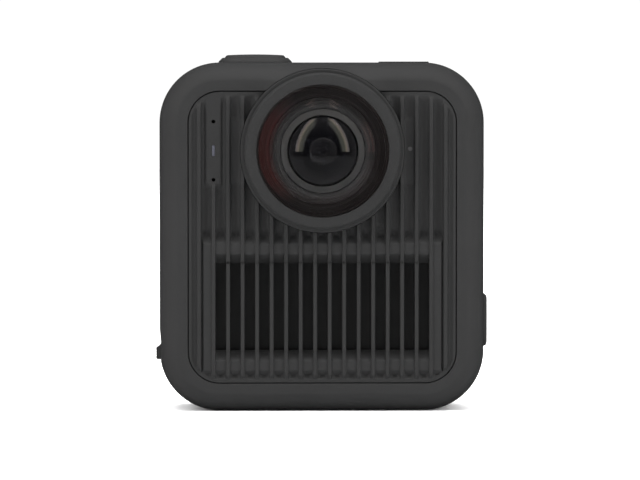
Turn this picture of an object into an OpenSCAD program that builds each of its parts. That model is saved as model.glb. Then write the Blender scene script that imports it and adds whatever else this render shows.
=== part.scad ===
// Twin-lens action camera with a finned front panel, a touch screen at the back, a side door
// and folding mounting fingers.
// The origin is on the resting surface, under the middle of the body. +Z is up, the finned
// front faces -Y and the touch screen faces +Y.

/* [Body] */
// Width of the body across the flat sides
body_w = 63.2; // [52:0.1:76]
// Height of the body without the shutter button
body_h = 67.8; // [62:0.1:82]
// Depth of the body between its front and rear faces
body_d = 27; // [24:0.1:33]
// Radius of the body's corners, seen from the front
corner_r = 11.7; // [9.5:0.1:14]
// Radius of the rounded edge between a side and a face
edge_r = 5.2; // [4.6:0.1:5.6]
// Width of the rounded edge, measured inwards on the face
edge_inset = 3.4; // [3:0.1:3.8]
// Wall of the housing
wall_t = 1.8; // [1.6:0.1:2.1]

/* [Panels] */
// Distance from the body's side to the recess that holds a panel
panel_inset = 5.4; // [4.6:0.05:5.6]
// Visible groove round a panel
panel_gap = 0.3; // [0.15:0.05:0.5]
// Thickness of a panel's edge flange
panel_t = 1.25; // [1:0.05:1.4]
// Thickness of a panel inside its flange
panel_core_t = 2.55; // [2.3:0.05:2.9]
// Width of the ledge that carries a panel
ledge_w = 2.05; // [1.6:0.05:2.4]
// Thickness of a panel seal
seal_t = 0.3; // [0.2:0.05:0.4]

/* [Fins] */
// Number of fins on the front panel
fin_count = 18; // [12:2:20]
// Distance between two fins
fin_pitch = 2.815; // [2.4:0.005:2.85]
// Width of a fin
fin_w = 0.75; // [0.5:0.05:1]
// Height of a fin above the panel's face
fin_rise = 0.55; // [0.3:0.05:0.8]
// Radius of the flute between two fins
flute_r = 1.03; // [0.7:0.01:1.1]
// Depth of a flute below the panel's face
flute_depth = 0.45; // [0.2:0.05:0.7]
// Distance from a panel's edge to the end of a fin
fin_margin = 0.8; // [0.6:0.1:1.5]

/* [Vent window] */
// Width of the vent window
window_w = 41.8; // [32:0.1:44]
// Height of the vent window
window_h = 18.4; // [12:0.1:20]
// Height of the window's middle above the base
window_z = 21.1; // [19:0.1:23]
// Width of the raised rim at the window's sides
rim_side = 2.56; // [1.5:0.01:3]
// Width of the raised rim above and below the window
rim_end = 3.7; // [2:0.1:4.2]
// Height of the rim above the panel's face
rim_rise = 0.25; // [0.1:0.05:0.4]

/* [Lenses] */
// Height of the lens axis above the base
lens_z = 50.7; // [49:0.1:52.4]
// Radius of the fixed ring under a lens cover
boss_r = 15.9; // [15.7:0.1:16.6]
// How far the fixed ring stands out of the body's face
boss_rise = 1.1; // [0.6:0.1:2]
// Depth of the fixed ring's seat below the body's face
boss_seat = 2.6; // [2.4:0.1:2.8]
// Outer radius of a lens cover's collar
collar_r = 15.15; // [15.1:0.05:15.8]
// Thickness of the collar
collar_t = 3; // [2.4:0.1:4]
// Chamfer round the collar's front edge
collar_chamfer = 0.45; // [0.2:0.05:0.7]
// Outer radius of the glass dome
dome_r = 15.6; // [15.4:0.1:16.6]
// How far a dome's tip stands out of the body's face
dome_reach = 10.85; // [10.2:0.05:11.4]
// Thickness of the glass dome
dome_t = 1.2; // [0.9:0.1:1.5]
// Radius of the inner lens element
element_r = 6.8; // [6:0.1:7.2]
// Width of the retaining ring round the inner element
retainer_w = 1.35; // [1:0.05:1.6]
// Outer radius of the lens barrel
barrel_r = 12.9; // [12.2:0.1:13.1]

/* [Side door] */
// Height of the door's lower edge above the base
door_z0 = 8.2; // [8.1:0.1:9]
// Height of the door's hinge above the base
hinge_z = 44; // [43.6:0.1:48]
// Width of the door
door_w = 15.2; // [14.8:0.1:16.2]
// Thickness of the door
door_t = 1.6; // [1.6:0.1:1.8]
// Radius of the hinge barrel
hinge_r = 1.2; // [1:0.1:1.3]
// Radius of the hinge pin
hinge_pin_r = 0.5; // [0.4:0.05:0.6]
// Height of the middle of the latch's slider above the base
latch_z = 11.55; // [11.4:0.05:12]
// Length of the latch's thumb piece
latch_h = 3.3; // [2.5:0.1:4]
// How far the thumb piece stands out of the side
latch_rise = 0.8; // [0.5:0.1:1.2]
// Travel of the latch
latch_travel = 1.6; // [1:0.1:1.8]

/* [Shutter button] */
// Distance of the shutter button from the middle, to the left
shutter_x = 12.9; // [11:0.1:13]
// Width of the button's top
shutter_w = 12; // [10:0.1:12.4]
// Depth of the button's top
shutter_d = 10; // [8:0.1:11]
// Height of the button above the body
shutter_rise = 1.6; // [1.4:0.1:2.6]
// Travel of the button
shutter_travel = 0.6; // [0.3:0.1:0.7]

/* [Mode button] */
// Height of the mode button's middle above the base
mode_z = 17.2; // [17:0.1:24]
// Length of the mode button
mode_h = 10.3; // [8:0.1:11]
// Width of the mode button
mode_w = 6; // [4:0.1:8]
// How far the mode button stands out of the side
mode_rise = 1.1; // [0.6:0.1:1.2]
// Travel of the mode button
mode_travel = 0.5; // [0.3:0.1:0.6]

/* [Folding fingers] */
// Thickness of a mounting finger
finger_t = 3; // [2.6:0.1:3]
// Radius of a finger's round end
finger_r = 7.5; // [6.5:0.1:7.5]
// Diameter of the eye for the clamping screw
eye_d = 5.1; // [4.9:0.1:5.5]
// Distance from a finger's hinge to its eye
finger_l = 9; // [8.6:0.1:9]
// Gap between the two fingers when they are unfolded
finger_gap = 3.2; // [3:0.1:3.6]
// Radius of a finger's hinge pin
finger_pin_r = 0.75; // [0.6:0.05:0.9]
// Nominal diameter of the tripod thread
tripod_d = 6.35; // [6:0.05:6.4]
// Depth of the tripod thread
tripod_depth = 5.5; // [4.5:0.1:6]

/* [Screen] */
// Width of the touch screen's glass
glass_w = 46; // [38:0.1:47]
// Height of the touch screen's glass
glass_h = 25.6; // [20:0.1:26]
// Height of the glass's lower edge above the base
glass_z0 = 7.4; // [7.2:0.1:7.8]
// Thickness of the glass
glass_t = 0.9; // [0.7:0.05:1.1]

/* [Battery] */
// Length of the battery
battery_l = 41; // [34:0.1:42]
// Thickness of the battery
battery_t = 11; // [9:0.1:11]
// Height of the battery
battery_h = 23; // [20:0.1:23]

/* [Fits] */
// Gap between two pieces that are fixed to each other
fit_gap = 0.1; // [0.05:0.01:0.12]
// Radial gap of a pin or of a turning ring
run_gap = 0.05; // [0.03:0.01:0.08]
// Gap round a cover or button that moves
move_gap = 0.15; // [0.12:0.01:0.2]

/* [Hidden] */

$fn = 72;
// Overshoot of a cutting shape past the face that it cuts
cut = 1;

shell_colour = "#404144";
rubber_colour = "#1c1d1f";
board_colour = "#1f4a35";
metal_colour = "#9b9da1";
black_colour = "#141517";
glass_colour = "#30363f";

// Body
half_w = body_w / 2;
half_d = body_d / 2;
edge_depth = sqrt(edge_r * edge_r - (edge_r - edge_inset) * (edge_r - edge_inset));
side_half = half_d - edge_depth;
inner_edge_r = edge_r - wall_t;
inner_x = half_w - wall_t;

// Panels
ledge_y = half_d - panel_gap / 6 - panel_t - seal_t;
ledge_t = 1.6;
panel_face = half_d - panel_gap / 6;
panel_w = body_w - 2 * (panel_inset + panel_gap);
panel_h = body_h - 2 * (panel_inset + panel_gap);
panel_r = corner_r - panel_inset - panel_gap;
core_inset = panel_inset + ledge_w + 2 * fit_gap;
core_back = panel_face - panel_core_t;
ledge_back = ledge_y - ledge_t;

// Fins and window
fin_top = panel_face + fin_rise;
fin_root = panel_face - panel_t + 0.1;
bar_back = panel_face - 1.9;
fin_bevel = 0.6;
window_z0 = window_z - window_h / 2;
window_z1 = window_z + window_h / 2;
plain_strip_z0 = 43;
index_x = 17.2;
mic_drop = 5.65;
mic_hole_r = 0.35;
light_w = 0.6;
light_h = 2.2;

// Lenses, measured along the lens axis from the middle of the body
seat_y = half_d - boss_seat;
boss_top = half_d + boss_rise;
collar_back = boss_top + fit_gap;
collar_front = collar_back + collar_t;
dome_centre = half_d + dome_reach - dome_r;
dome_foot = collar_back + 1;
skirt_or = 14.5;
skirt_ir = 13.8;
skirt_back = seat_y + 1.75;
lug_count = 3;
lug_angle = 25;
lug_t = 0.8;
lug_rise = 0.6;
mount_floor = seat_y + 1;
barrel_top = boss_top - 0.3;
barrel_back = 6;
retainer_r = element_r + retainer_w;
retainer_y0 = collar_back + 1.5;
retainer_y1 = retainer_y0 + 1.2;
tube_r = retainer_r + 1;
step_w = 1.1;
step_h = 0.9;
cradle_t = 1.3;
cradle_y = 9.5;
element_rise = 2.4;
group_back = 3;
sensor_y0 = 1;
sensor_t = 1.2;
sensor_w = 15;

// Side door
hinge_x = -half_w + hinge_r;
door_half = door_w / 2;
door_lip = 0.4;
latch_bed = 1.05;
latch_w = 4.2;
spring_r = 0.28;
latch_ear_w = 6;
latch_ear_top = latch_z + 0.35;
slot_z0 = latch_z - 2.25;
slot_z1 = latch_z + 3.65;
slider_play = 0.075;
spring_top = slot_z1 + latch_travel + 0.2;
seal_z0 = door_z0 + 1.2;
seal_z1 = hinge_z - hinge_r - 1.4;
seal_w = 0.8;
seal_half = door_half - 0.6;
door_seal_t = 0.6;

// Battery bay and ports, from the front to the back
bay_wall = 0.8;
bay_gap = 0.3;
battery_x0 = -inner_x + 1.5;
battery_z0 = seal_z0 + seal_w + 0.2;
battery_y0 = -battery_t / 2 - 0.4;
battery_x1 = battery_x0 + battery_l;
battery_z1 = battery_z0 + battery_h;
battery_y1 = battery_y0 + battery_t;
bay_x0 = battery_x0 - 0.9;
bay_top = battery_z1 + bay_gap + bay_wall;
usb_w = 9.2;
usb_h = 3.2;
usb_l = 7.3;
usb_z0 = bay_top + fit_gap;
card_l = 15;
card_w = 11;
card_t = 0.8;
card_z0 = usb_z0 + usb_h + fit_gap;
card_slot_h = 2;
plate_half = 0.8;

// Front stack behind the vent window
spreader_y1 = core_back - fit_gap;
spreader_t = 0.8;
spreader_margin = 1.6;
pad_t = 0.5;
chip_t = 0.8;
board_t = 0.8;
chip_y = spreader_y1 - spreader_t - pad_t;
board_y1 = chip_y - chip_t;
board_y0 = board_y1 - board_t;
board_w = body_w - 2 * wall_t - 5;
board_z0 = 7.6;

// Shutter button
shutter_wall = 0.4;
shutter_r = 2.4;
bezel_top = body_h + 0.58 * shutter_rise;
bezel_slope = 0.7;
neck_w = shutter_w + 2 * (move_gap + shutter_wall);
neck_d = shutter_d + 2 * (move_gap + shutter_wall);
top_in = body_h - wall_t;
cap_crown = 0.15;
flange_t = 0.7;
switch_h = 1.6;
switch_w = 6;
stem_l = 0.5;
shutter_switch_z = top_in - 0.2 - flange_t - stem_l - shutter_travel - 0.1;

// Mode button
mode_flange = 0.7;
mode_flange_t = 0.7;
mode_r = 1.5;
mode_stem = 0.5;
mode_switch_x = inner_x - 0.2 - mode_flange_t - mode_stem - mode_travel - 0.1;

// Folding fingers
recess_h = finger_t + 0.4;
pivot_z = recess_h / 2;
pivot_x = (finger_gap + finger_t) / 2;
recess_half_l = pivot_x + finger_l + finger_r + 0.2;
recess_half_w = finger_r + 0.3;
tray_wall = 0.9;
tray_half_l = recess_half_l + tray_wall;
tray_half_w = recess_half_w + 0.95;
tray_top = recess_h + 1.3;
insert_r = tripod_d / 2 + 0.825;
insert_z0 = 0.6;
insert_top = insert_z0 + tripod_depth + 0.6;
root_half_w = insert_r + 0.3;
root_x = pivot_x + norm([insert_r - pivot_x, pivot_z - insert_z0]) + 0.15;

// Screen
glass_margin = 2.1;
screen_gap = 0.15;
display_t = 2.4;

// Small pieces
speaker_z = lens_z;
speaker_w = 8;
speaker_h = 11;
speaker_t = 3.3;
speaker_hole_r = 0.4;
speaker_hole_pitch = 1.6;
dot_r = 0.6;
dot_t = 0.3;
mic_cover_x = 16.3;
mic_cover_w = 9.8;
mic_cover_d = 6;
mic_cover_t = 0.2;
board_screw_r = 0.6;
board_screw_x = board_w / 2 - 1.3;
board_screw_z = [board_z0 + 5.4, bay_top - 3.5];
tray_screw_x = 17;
tray_screw_y = 5.6;
tray_screw_r = 0.7;
flex_t = 0.12;

// ---- Shared shapes -------------------------------------------------------------------

// Rectangle with round corners, centred
module round_rect(w, h, r) {
    union() {
        square([w - 2 * r, h], center = true);
        square([w, h - 2 * r], center = true);
        for (x = [-1, 1], y = [-1, 1])
            translate([x * (w / 2 - r), y * (h / 2 - r)])
                circle(r);
    }
}

// Plate with round corners in the XZ plane, from y0 to y1
module face_plate(w, h, r, y0, y1) {
    translate([0, y1, 0])
        rotate([90, 0, 0])
            linear_extrude(y1 - y0)
                round_rect(w, h, r);
}

// Block with round corners seen from the side, from x0 to x1
module side_block(x0, x1, d, h, r) {
    translate([x0, 0, 0])
        rotate([90, 0, 90])
            linear_extrude(x1 - x0)
                round_rect(d, h, r);
}

// Block with round corners seen from above, from z0 to z1
module top_block(w, d, r, z0, z1) {
    translate([0, 0, z0])
        linear_extrude(z1 - z0)
            round_rect(w, d, r);
}

// Box from one corner to the opposite one
module span(a, b) {
    translate(a)
        cube(b - a);
}

// Carries a section round the body's outline. In the section, x runs inwards from the skin
// and y is the body's depth
module round_the_body() {
    translate([0, 0, body_h / 2])
        for (i = [0:3]) {
            across = i % 2 == 0;
            reach = across ? half_w : body_h / 2;
            side_l = (across ? body_h : body_w) - 2 * corner_r;
            rotate([0, 90 * i, 0]) {
                translate([reach, 0, -side_l / 2])
                    linear_extrude(side_l)
                        mirror([1, 0])
                            children();
                translate([reach - corner_r, 0, -side_l / 2])
                    rotate([-90, 0, 0])
                        rotate_extrude(angle = 90)
                            translate([corner_r, 0])
                                mirror([1, 0])
                                    children();
            }
        }
}

// Filled section of the body's rim, as deep as reach
module skin_section(reach) {
    union() {
        translate([0, -side_half])
            square([reach, 2 * side_half]);
        for (s = [-1, 1])
            intersection() {
                translate([edge_r, s * side_half])
                    circle(edge_r);
                translate([0, -half_d])
                    square([edge_r, body_d]);
            }
        translate([edge_inset, -half_d])
            square([reach - edge_inset, body_d]);
    }
}

// Room behind the wall, up to the back of the ledges
module room_section() {
    union() {
        translate([wall_t, -side_half])
            square([corner_r, 2 * side_half]);
        for (s = [-1, 1])
            intersection() {
                translate([edge_r, s * side_half])
                    circle(inner_edge_r);
                translate([0, -ledge_back])
                    square([edge_r, 2 * ledge_back]);
            }
        translate([edge_r, -ledge_back])
            square([corner_r, 2 * ledge_back]);
    }
}

// Wall, rounded edges and panel ledges
module housing_section() {
    difference() {
        skin_section(panel_inset + ledge_w);
        room_section();
        for (s = [0, 1])
            mirror([0, s])
                translate([panel_inset, ledge_y])
                    square([corner_r, half_d]);
    }
}

// Places a shape that points along +Z on a lens axis, at the front or turned to the back
module on_lens_axis(rear = false) {
    rotate([0, 0, rear ? 180 : 0])
        translate([0, 0, lens_z])
            rotate([90, 0, 0])
                children();
}

// Ring between two radii, from y0 to y1 along a lens axis
module ring(outer, inner, y0, y1) {
    translate([0, 0, y0])
        difference() {
            cylinder(r = outer, h = y1 - y0);
            translate([0, 0, -cut])
                cylinder(r = inner, h = y1 - y0 + 2 * cut);
        }
}

// Sector of a ring, centred on angle a
module ring_sector(outer, inner, y0, y1, a, sweep) {
    translate([0, 0, y0])
        rotate([0, 0, a - sweep / 2])
            rotate_extrude(angle = sweep)
                translate([inner, 0])
                    square([outer - inner, y1 - y0]);
}

// Stepped hole through a face: the ring under a lens cover sits in the wide part and the
// barrel passes the narrow one
module lens_hole(r) {
    translate([0, 0, seat_y])
        cylinder(r = r, h = half_d);
    translate([0, 0, ledge_back - cut])
        cylinder(r = barrel_r + fit_gap, h = half_d);
}

// ---- Housing and panels --------------------------------------------------------------

// Opening in the housing's left wall for the side door
module door_opening() {
    z0 = door_z0 - move_gap;
    z1 = hinge_z + hinge_r + move_gap;
    translate([0, 0, (z0 + z1) / 2])
        side_block(-half_w - cut, -inner_x + cut, door_w + 2 * move_gap, z1 - z0, 1.6);
    span([-half_w - cut, -door_half - move_gap, hinge_z - hinge_r - 1],
        [-inner_x + cut, door_half + move_gap, z1]);
}

module housing() {
    color(shell_colour)
        difference() {
            union() {
                round_the_body()
                    housing_section();
                for (s = [-1, 1])
                    translate([0, s * (door_half + move_gap + 0.75), hinge_z])
                        span([-inner_x - 0.5, -0.75, -1.6], [-inner_x + 1.1, 0.75, 1.6]);
            }
            on_lens_axis()
                lens_hole(boss_r + fit_gap);
            on_lens_axis(true)
                lens_hole(boss_r + fit_gap);
            door_opening();
            translate([hinge_x, door_half + 2, hinge_z])
                rotate([90, 0, 0])
                    cylinder(r = hinge_pin_r, h = door_w + 4);
            span([hinge_x - 0.7, -1.4, door_z0 - move_gap - 0.9], [hinge_x + 0.3, 1.4, door_z0]);
            translate([0, 0, mode_z])
                side_block(inner_x - cut, half_w + cut, mode_w + 2 * move_gap,
                    mode_h + 2 * move_gap, mode_r + move_gap);
            translate([-shutter_x, 0, 0])
                top_block(neck_w + 2 * fit_gap, neck_d + 2 * fit_gap, shutter_r + 0.6,
                    top_in - cut, body_h + cut);
            top_block(2 * (tray_half_l + fit_gap), 2 * (tray_half_w + fit_gap), 1.5,
                -cut, wall_t + cut);
            speaker_holes();
            translate([mic_cover_x, 0, 0])
                top_block(mic_cover_w - 1.6, mic_cover_d - 1.6, 0.8, top_in - cut, body_h + cut);
        }
}

// Small holes in the right wall in front of the speaker
module speaker_holes() {
    for (i = [-2:2])
        translate([inner_x - cut, 0, speaker_z + i * speaker_hole_pitch])
            rotate([0, 90, 0])
                cylinder(r = speaker_hole_r, h = wall_t + 2 * cut);
}

// Flange and core of a panel, before anything is cut into it
module panel_blank() {
    translate([0, 0, body_h / 2]) {
        face_plate(panel_w, panel_h, panel_r, -panel_face, -panel_face + panel_t);
        face_plate(body_w - 2 * core_inset, body_h - 2 * core_inset, corner_r - core_inset,
            -panel_face + cut, -core_back);
    }
}

// Height of the lower end of the fin at x. The outer fins follow the panel's corners
function fin_end(x) = let (
        away = abs(x) - (half_w - corner_r),
        r = panel_r - fin_margin)
    away <= 0 ? corner_r - r : corner_r - sqrt(max(r * r - away * away, 0.01));

function fin_x(i) = (i - (fin_count - 1) / 2) * fin_pitch;

// One fin as an upright bar with bevelled ends
module fin(x, z0, z1) {
    translate([x + fin_w / 2, 0, 0])
        rotate([90, 0, -90])
            linear_extrude(fin_w)
                polygon([
                    [fin_root, z0 + 0.2],
                    [panel_face, z0],
                    [fin_top, z0 + fin_bevel],
                    [fin_top, z1 - fin_bevel],
                    [panel_face, z1],
                    [fin_root, z1 - 0.2]
                ]);
}

// Deeper part of a fin where it crosses the vent window
module window_bar(x) {
    span([x - fin_w / 2, -panel_face, window_z0 - 1], [x + fin_w / 2, -bar_back, window_z1 + 1]);
}

function over_window(i) = abs(fin_x(i)) + fin_w / 2 < window_w / 2;

// Rounded flute between two fins
module flute(x, z0, z1) {
    translate([x, -(panel_face - flute_depth + flute_r), z0])
        cylinder(r = flute_r, h = z1 - z0, $fn = 32);
}

// Raised rim round the vent window
module window_rim() {
    translate([0, 0, window_z])
        face_plate(window_w + 2 * rim_side, window_h + 2 * rim_end, 1,
            -panel_face - rim_rise, -fin_root);
}

module front_panel() {
    second_fin = 1;
    color(shell_colour)
        difference() {
            union() {
                difference() {
                    union() {
                        difference() {
                            panel_blank();
                            for (i = [0:fin_count - 2])
                                flute((fin_x(i) + fin_x(i + 1)) / 2,
                                    max(fin_end(fin_x(i)), fin_end(fin_x(i + 1))),
                                    body_h - max(fin_end(fin_x(i)), fin_end(fin_x(i + 1))));
                        }
                        window_rim();
                        span([fin_x(0), -panel_face, plain_strip_z0],
                            [fin_x(2), -fin_root, body_h - fin_end(fin_x(0))]);
                        span([0, -panel_face, lens_z - 6.5],
                            [index_x + 0.7, -fin_root, lens_z + 6.5]);
                    }
                    translate([0, 0, window_z])
                        face_plate(window_w, window_h, 0.6, -fin_top - cut, -core_back + cut);
                }
                for (i = [0:fin_count - 1])
                    fin(fin_x(i), fin_end(fin_x(i)),
                        i == second_fin ? plain_strip_z0 : body_h - fin_end(fin_x(i)));
                for (i = [0:fin_count - 1])
                    if (over_window(i))
                        window_bar(fin_x(i));
            }
            on_lens_axis()
                lens_hole(boss_r + fit_gap);
            for (s = [-1, 1])
                translate([fin_x(second_fin), -core_back + cut, lens_z + s * mic_drop])
                    rotate([90, 0, 0])
                        cylinder(r = mic_hole_r, h = 6);
            translate([fin_x(second_fin), 0, lens_z])
                face_plate(light_w, light_h, light_w / 2.01, -fin_top - cut, -core_back + cut);
            front_dot(fit_gap / 2);
        }
}

// Rubber seal between a panel's flange and its ledge
module panel_seal() {
    difference() {
        face_plate(panel_w, panel_h, panel_r, -ledge_y - seal_t, -ledge_y);
        face_plate(body_w - 2 * (core_inset - fit_gap), body_h - 2 * (core_inset - fit_gap),
            corner_r - core_inset + fit_gap, -half_d, 0);
    }
}

module front_panel_seal() {
    color(rubber_colour)
        difference() {
            translate([0, 0, body_h / 2])
                panel_seal();
            on_lens_axis()
                lens_hole(boss_r + fit_gap);
        }
}

// Dark aluminium plate behind the vent window, with a low rib behind each fin
module heat_spreader() {
    rib_h = 0.6;
    color(black_colour)
        union() {
            translate([0, 0, window_z])
                face_plate(window_w + 2 * spreader_margin, window_h + 2 * spreader_margin, 1,
                    -spreader_y1, -spreader_y1 + spreader_t);
            for (i = [0:fin_count - 1])
                if (over_window(i))
                    span([fin_x(i) - fin_w / 2, -spreader_y1 - rib_h, window_z0 + 0.3],
                        [fin_x(i) + fin_w / 2, -spreader_y1 + fit_gap, window_z1 - 0.3]);
        }
}

module rear_panel() {
    color(shell_colour)
        difference() {
            rotate([0, 0, 180])
                panel_blank();
            on_lens_axis(true)
                lens_hole(boss_r + fit_gap);
            translate([0, 0, glass_z0 + glass_h / 2]) {
                face_plate(glass_w + 2 * screen_gap, glass_h + 2 * screen_gap, 3,
                    panel_face - glass_t, panel_face + cut);
                face_plate(glass_w - 2 * glass_margin, glass_h - 2 * glass_margin, 1.5,
                    core_back - cut, panel_face);
            }
            rear_dot(fit_gap / 2);
        }
}

module rear_panel_seal() {
    color(rubber_colour)
        difference() {
            translate([0, 0, body_h / 2])
                rotate([0, 0, 180])
                    panel_seal();
            on_lens_axis(true)
                lens_hole(boss_r + fit_gap);
        }
}

module touch_glass() {
    color(black_colour)
        translate([0, 0, glass_z0 + glass_h / 2])
            face_plate(glass_w, glass_h, 3 - screen_gap, panel_face - glass_t, panel_face);
}

module display_module() {
    margin = glass_margin + fit_gap;
    color(glass_colour)
        translate([0, 0, glass_z0 + glass_h / 2])
            face_plate(glass_w - 2 * margin, glass_h - 2 * margin, 1.4,
                panel_face - glass_t - display_t, panel_face - glass_t);
}

// Index marks beside the lens covers
module front_dot(extra = 0) {
    translate([index_x, -panel_face + dot_t, lens_z + 0.5])
        rotate([90, 0, 0])
            cylinder(r = dot_r + extra, h = dot_t + (extra > 0 ? cut : 0));
}

module rear_dot(extra = 0) {
    rotate([0, 0, 180])
        front_dot(extra);
}

module index_dots() {
    color("#c8c9cc") {
        front_dot();
        rear_dot();
    }
}

// Raised cover over the top microphones
module top_mic_cover() {
    color(shell_colour)
        translate([mic_cover_x, 0, 0])
            difference() {
                union() {
                    top_block(mic_cover_w, mic_cover_d, 1.2, body_h, body_h + mic_cover_t);
                    top_block(mic_cover_w - 1.8, mic_cover_d - 1.8, 0.7, top_in, body_h + 0.1);
                }
                for (i = [-1:1])
                    translate([i * 2, 0, top_in - cut])
                        cylinder(r = 0.4, h = wall_t + mic_cover_t + 2 * cut);
            }
}

// ---- Lens units ----------------------------------------------------------------------

// Cover ring with a bayonet skirt. It carries the glass dome and twists off
module lens_collar() {
    color(shell_colour)
        difference() {
            union() {
                translate([0, 0, collar_back])
                    cylinder(r = collar_r, h = collar_t - collar_chamfer);
                translate([0, 0, collar_front - collar_chamfer])
                    cylinder(r1 = collar_r, r2 = collar_r - collar_chamfer, h = collar_chamfer);
                translate([0, 0, skirt_back])
                    cylinder(r = skirt_or, h = collar_back - skirt_back + 0.5);
                for (i = [0:lug_count - 1])
                    ring_sector(skirt_or + lug_rise, skirt_ir + 0.2, skirt_back,
                        skirt_back + lug_t, 360 / lug_count * i, lug_angle);
            }
            translate([0, 0, skirt_back - cut])
                cylinder(r = skirt_ir, h = dome_foot + 1 - skirt_back + cut);
            translate([0, 0, dome_centre])
                sphere(r = dome_r + fit_gap / 2);
        }
}

module lens_dome() {
    color(glass_colour)
        difference() {
            intersection() {
                translate([0, 0, dome_centre])
                    sphere(r = dome_r);
                translate([0, 0, dome_foot])
                    cylinder(r = skirt_ir - fit_gap / 2, h = dome_r);
            }
            translate([0, 0, dome_centre])
                sphere(r = dome_r - dome_t);
        }
}

// Rubber ring under the skirt
module lens_seal() {
    color(rubber_colour)
        ring(skirt_or - 0.1, skirt_ir + 0.1, mount_floor + run_gap, skirt_back);
}

// Fixed ring with the bayonet groove
module lens_mount() {
    lip_t = 0.9;
    color(shell_colour)
        difference() {
            translate([0, 0, seat_y])
                cylinder(r = boss_r, h = boss_top - seat_y);
            translate([0, 0, seat_y - cut])
                cylinder(r = barrel_r + fit_gap, h = boss_top - seat_y + 2 * cut);
            translate([0, 0, mount_floor])
                cylinder(r = skirt_or + run_gap, h = boss_top - mount_floor + cut);
            translate([0, 0, mount_floor])
                cylinder(r = skirt_or + lug_rise + 2 * run_gap,
                    h = boss_top - lip_t - mount_floor);
            for (i = [0:lug_count - 1])
                ring_sector(skirt_or + lug_rise + run_gap, skirt_ir, mount_floor + lug_t,
                    boss_top + cut, 360 / lug_count * i + 40, lug_angle + 4);
        }
}

// Stepped barrel round the inner lenses
module lens_barrel() {
    color(black_colour)
        difference() {
            union() {
                translate([0, 0, barrel_back])
                    cylinder(r = barrel_r, h = barrel_top - barrel_back);
                for (i = [0:2])
                    translate([0, 0, barrel_back])
                        cylinder(r = tube_r + step_w * (2 - i),
                            h = barrel_top + step_h * (i + 1) - barrel_back);
                translate([0, 0, group_back])
                    cylinder(r = tube_r, h = barrel_back - group_back + cut);
            }
            difference() {
                translate([0, 0, barrel_top - 1.2])
                    cylinder(r = barrel_r - 0.7, h = 2 * cut);
                translate([0, 0, barrel_back])
                    cylinder(r = tube_r + 2 * step_w, h = body_d);
            }
            translate([0, 0, retainer_y0 - fit_gap])
                cylinder(r = retainer_r + fit_gap, h = body_d);
            translate([0, 0, group_back - cut])
                cylinder(r = element_r, h = body_d);
        }
}

module lens_retainer() {
    color(metal_colour)
        difference() {
            ring(retainer_r, element_r - 0.3, retainer_y0, retainer_y1);
            translate([0, 0, retainer_y0 - 0.4])
                cylinder(r = element_r + fit_gap / 2, h = 1.2);
        }
}

// Domed inner element, held by the retaining ring
module lens_element() {
    rim_r = element_r - 0.3 - fit_gap;
    dome = (rim_r * rim_r + element_rise * element_rise) / (2 * element_rise);
    color(glass_colour)
        union() {
            translate([0, 0, retainer_y0 - fit_gap])
                cylinder(r = element_r - fit_gap / 2, h = 0.8);
            intersection() {
                translate([0, 0, retainer_y1 - 0.4 + element_rise - dome])
                    sphere(r = dome);
                translate([0, 0, retainer_y0])
                    cylinder(r = rim_r, h = body_d);
            }
        }
}

module inner_lenses() {
    color(glass_colour)
        translate([0, 0, group_back + 0.2])
            cylinder(r = element_r - fit_gap, h = retainer_y0 - 2 * fit_gap - group_back - 0.2);
}

// Image sensor on its small board
module image_sensor() {
    chip = 9.6;
    color(board_colour)
        union() {
            translate([-sensor_w / 2, -sensor_w / 2, sensor_y0])
                cube([sensor_w, sensor_w, sensor_t]);
            translate([-chip / 2, -chip / 2, sensor_y0])
                cube([chip, chip, group_back - sensor_y0 - fit_gap]);
        }
}

module front_lens_collar() on_lens_axis() lens_collar();
module front_lens_dome() on_lens_axis() lens_dome();
module front_lens_seal() on_lens_axis() lens_seal();
module front_lens_mount() on_lens_axis() lens_mount();
module front_lens_barrel() on_lens_axis() lens_barrel();
module front_lens_retainer() on_lens_axis() lens_retainer();
module front_lens_element() on_lens_axis() lens_element();
module front_inner_lenses() on_lens_axis() inner_lenses();
module front_image_sensor() on_lens_axis() image_sensor();
module rear_lens_collar() on_lens_axis(true) lens_collar();
module rear_lens_dome() on_lens_axis(true) lens_dome();
module rear_lens_seal() on_lens_axis(true) lens_seal();
module rear_lens_mount() on_lens_axis(true) lens_mount();
module rear_lens_barrel() on_lens_axis(true) lens_barrel();
module rear_lens_retainer() on_lens_axis(true) lens_retainer();
module rear_lens_element() on_lens_axis(true) lens_element();
module rear_inner_lenses() on_lens_axis(true) inner_lenses();
module rear_image_sensor() on_lens_axis(true) image_sensor();

// ---- Side door -----------------------------------------------------------------------

// Solid of the body between its outline and the same outline moved inwards by t
module outline_band(t, half) {
    translate([0, 0, body_h / 2])
        difference() {
            face_plate(body_w, body_h, corner_r, -half, half);
            face_plate(body_w - 2 * t, body_h - 2 * t, corner_r - t, -half - cut, half + cut);
        }
}

module side_door() {
    top = hinge_z + corner_r;
    color(shell_colour)
        difference() {
            union() {
                intersection() {
                    outline_band(door_t, door_half);
                    difference() {
                        translate([0, 0, (door_z0 + top) / 2])
                            side_block(-half_w - cut, 0, door_w, top - door_z0, 1.5);
                        span([-body_w, -body_w, hinge_z], [0, body_w, body_h]);
                    }
                }
                translate([hinge_x, door_half, hinge_z])
                    rotate([90, 0, 0])
                        cylinder(r = hinge_r, h = door_w);
            }
            translate([hinge_x, door_half + cut, hinge_z])
                rotate([90, 0, 0])
                    cylinder(r = hinge_pin_r + run_gap, h = door_w + 2 * cut);
            latch_bed();
        }
}

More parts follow.
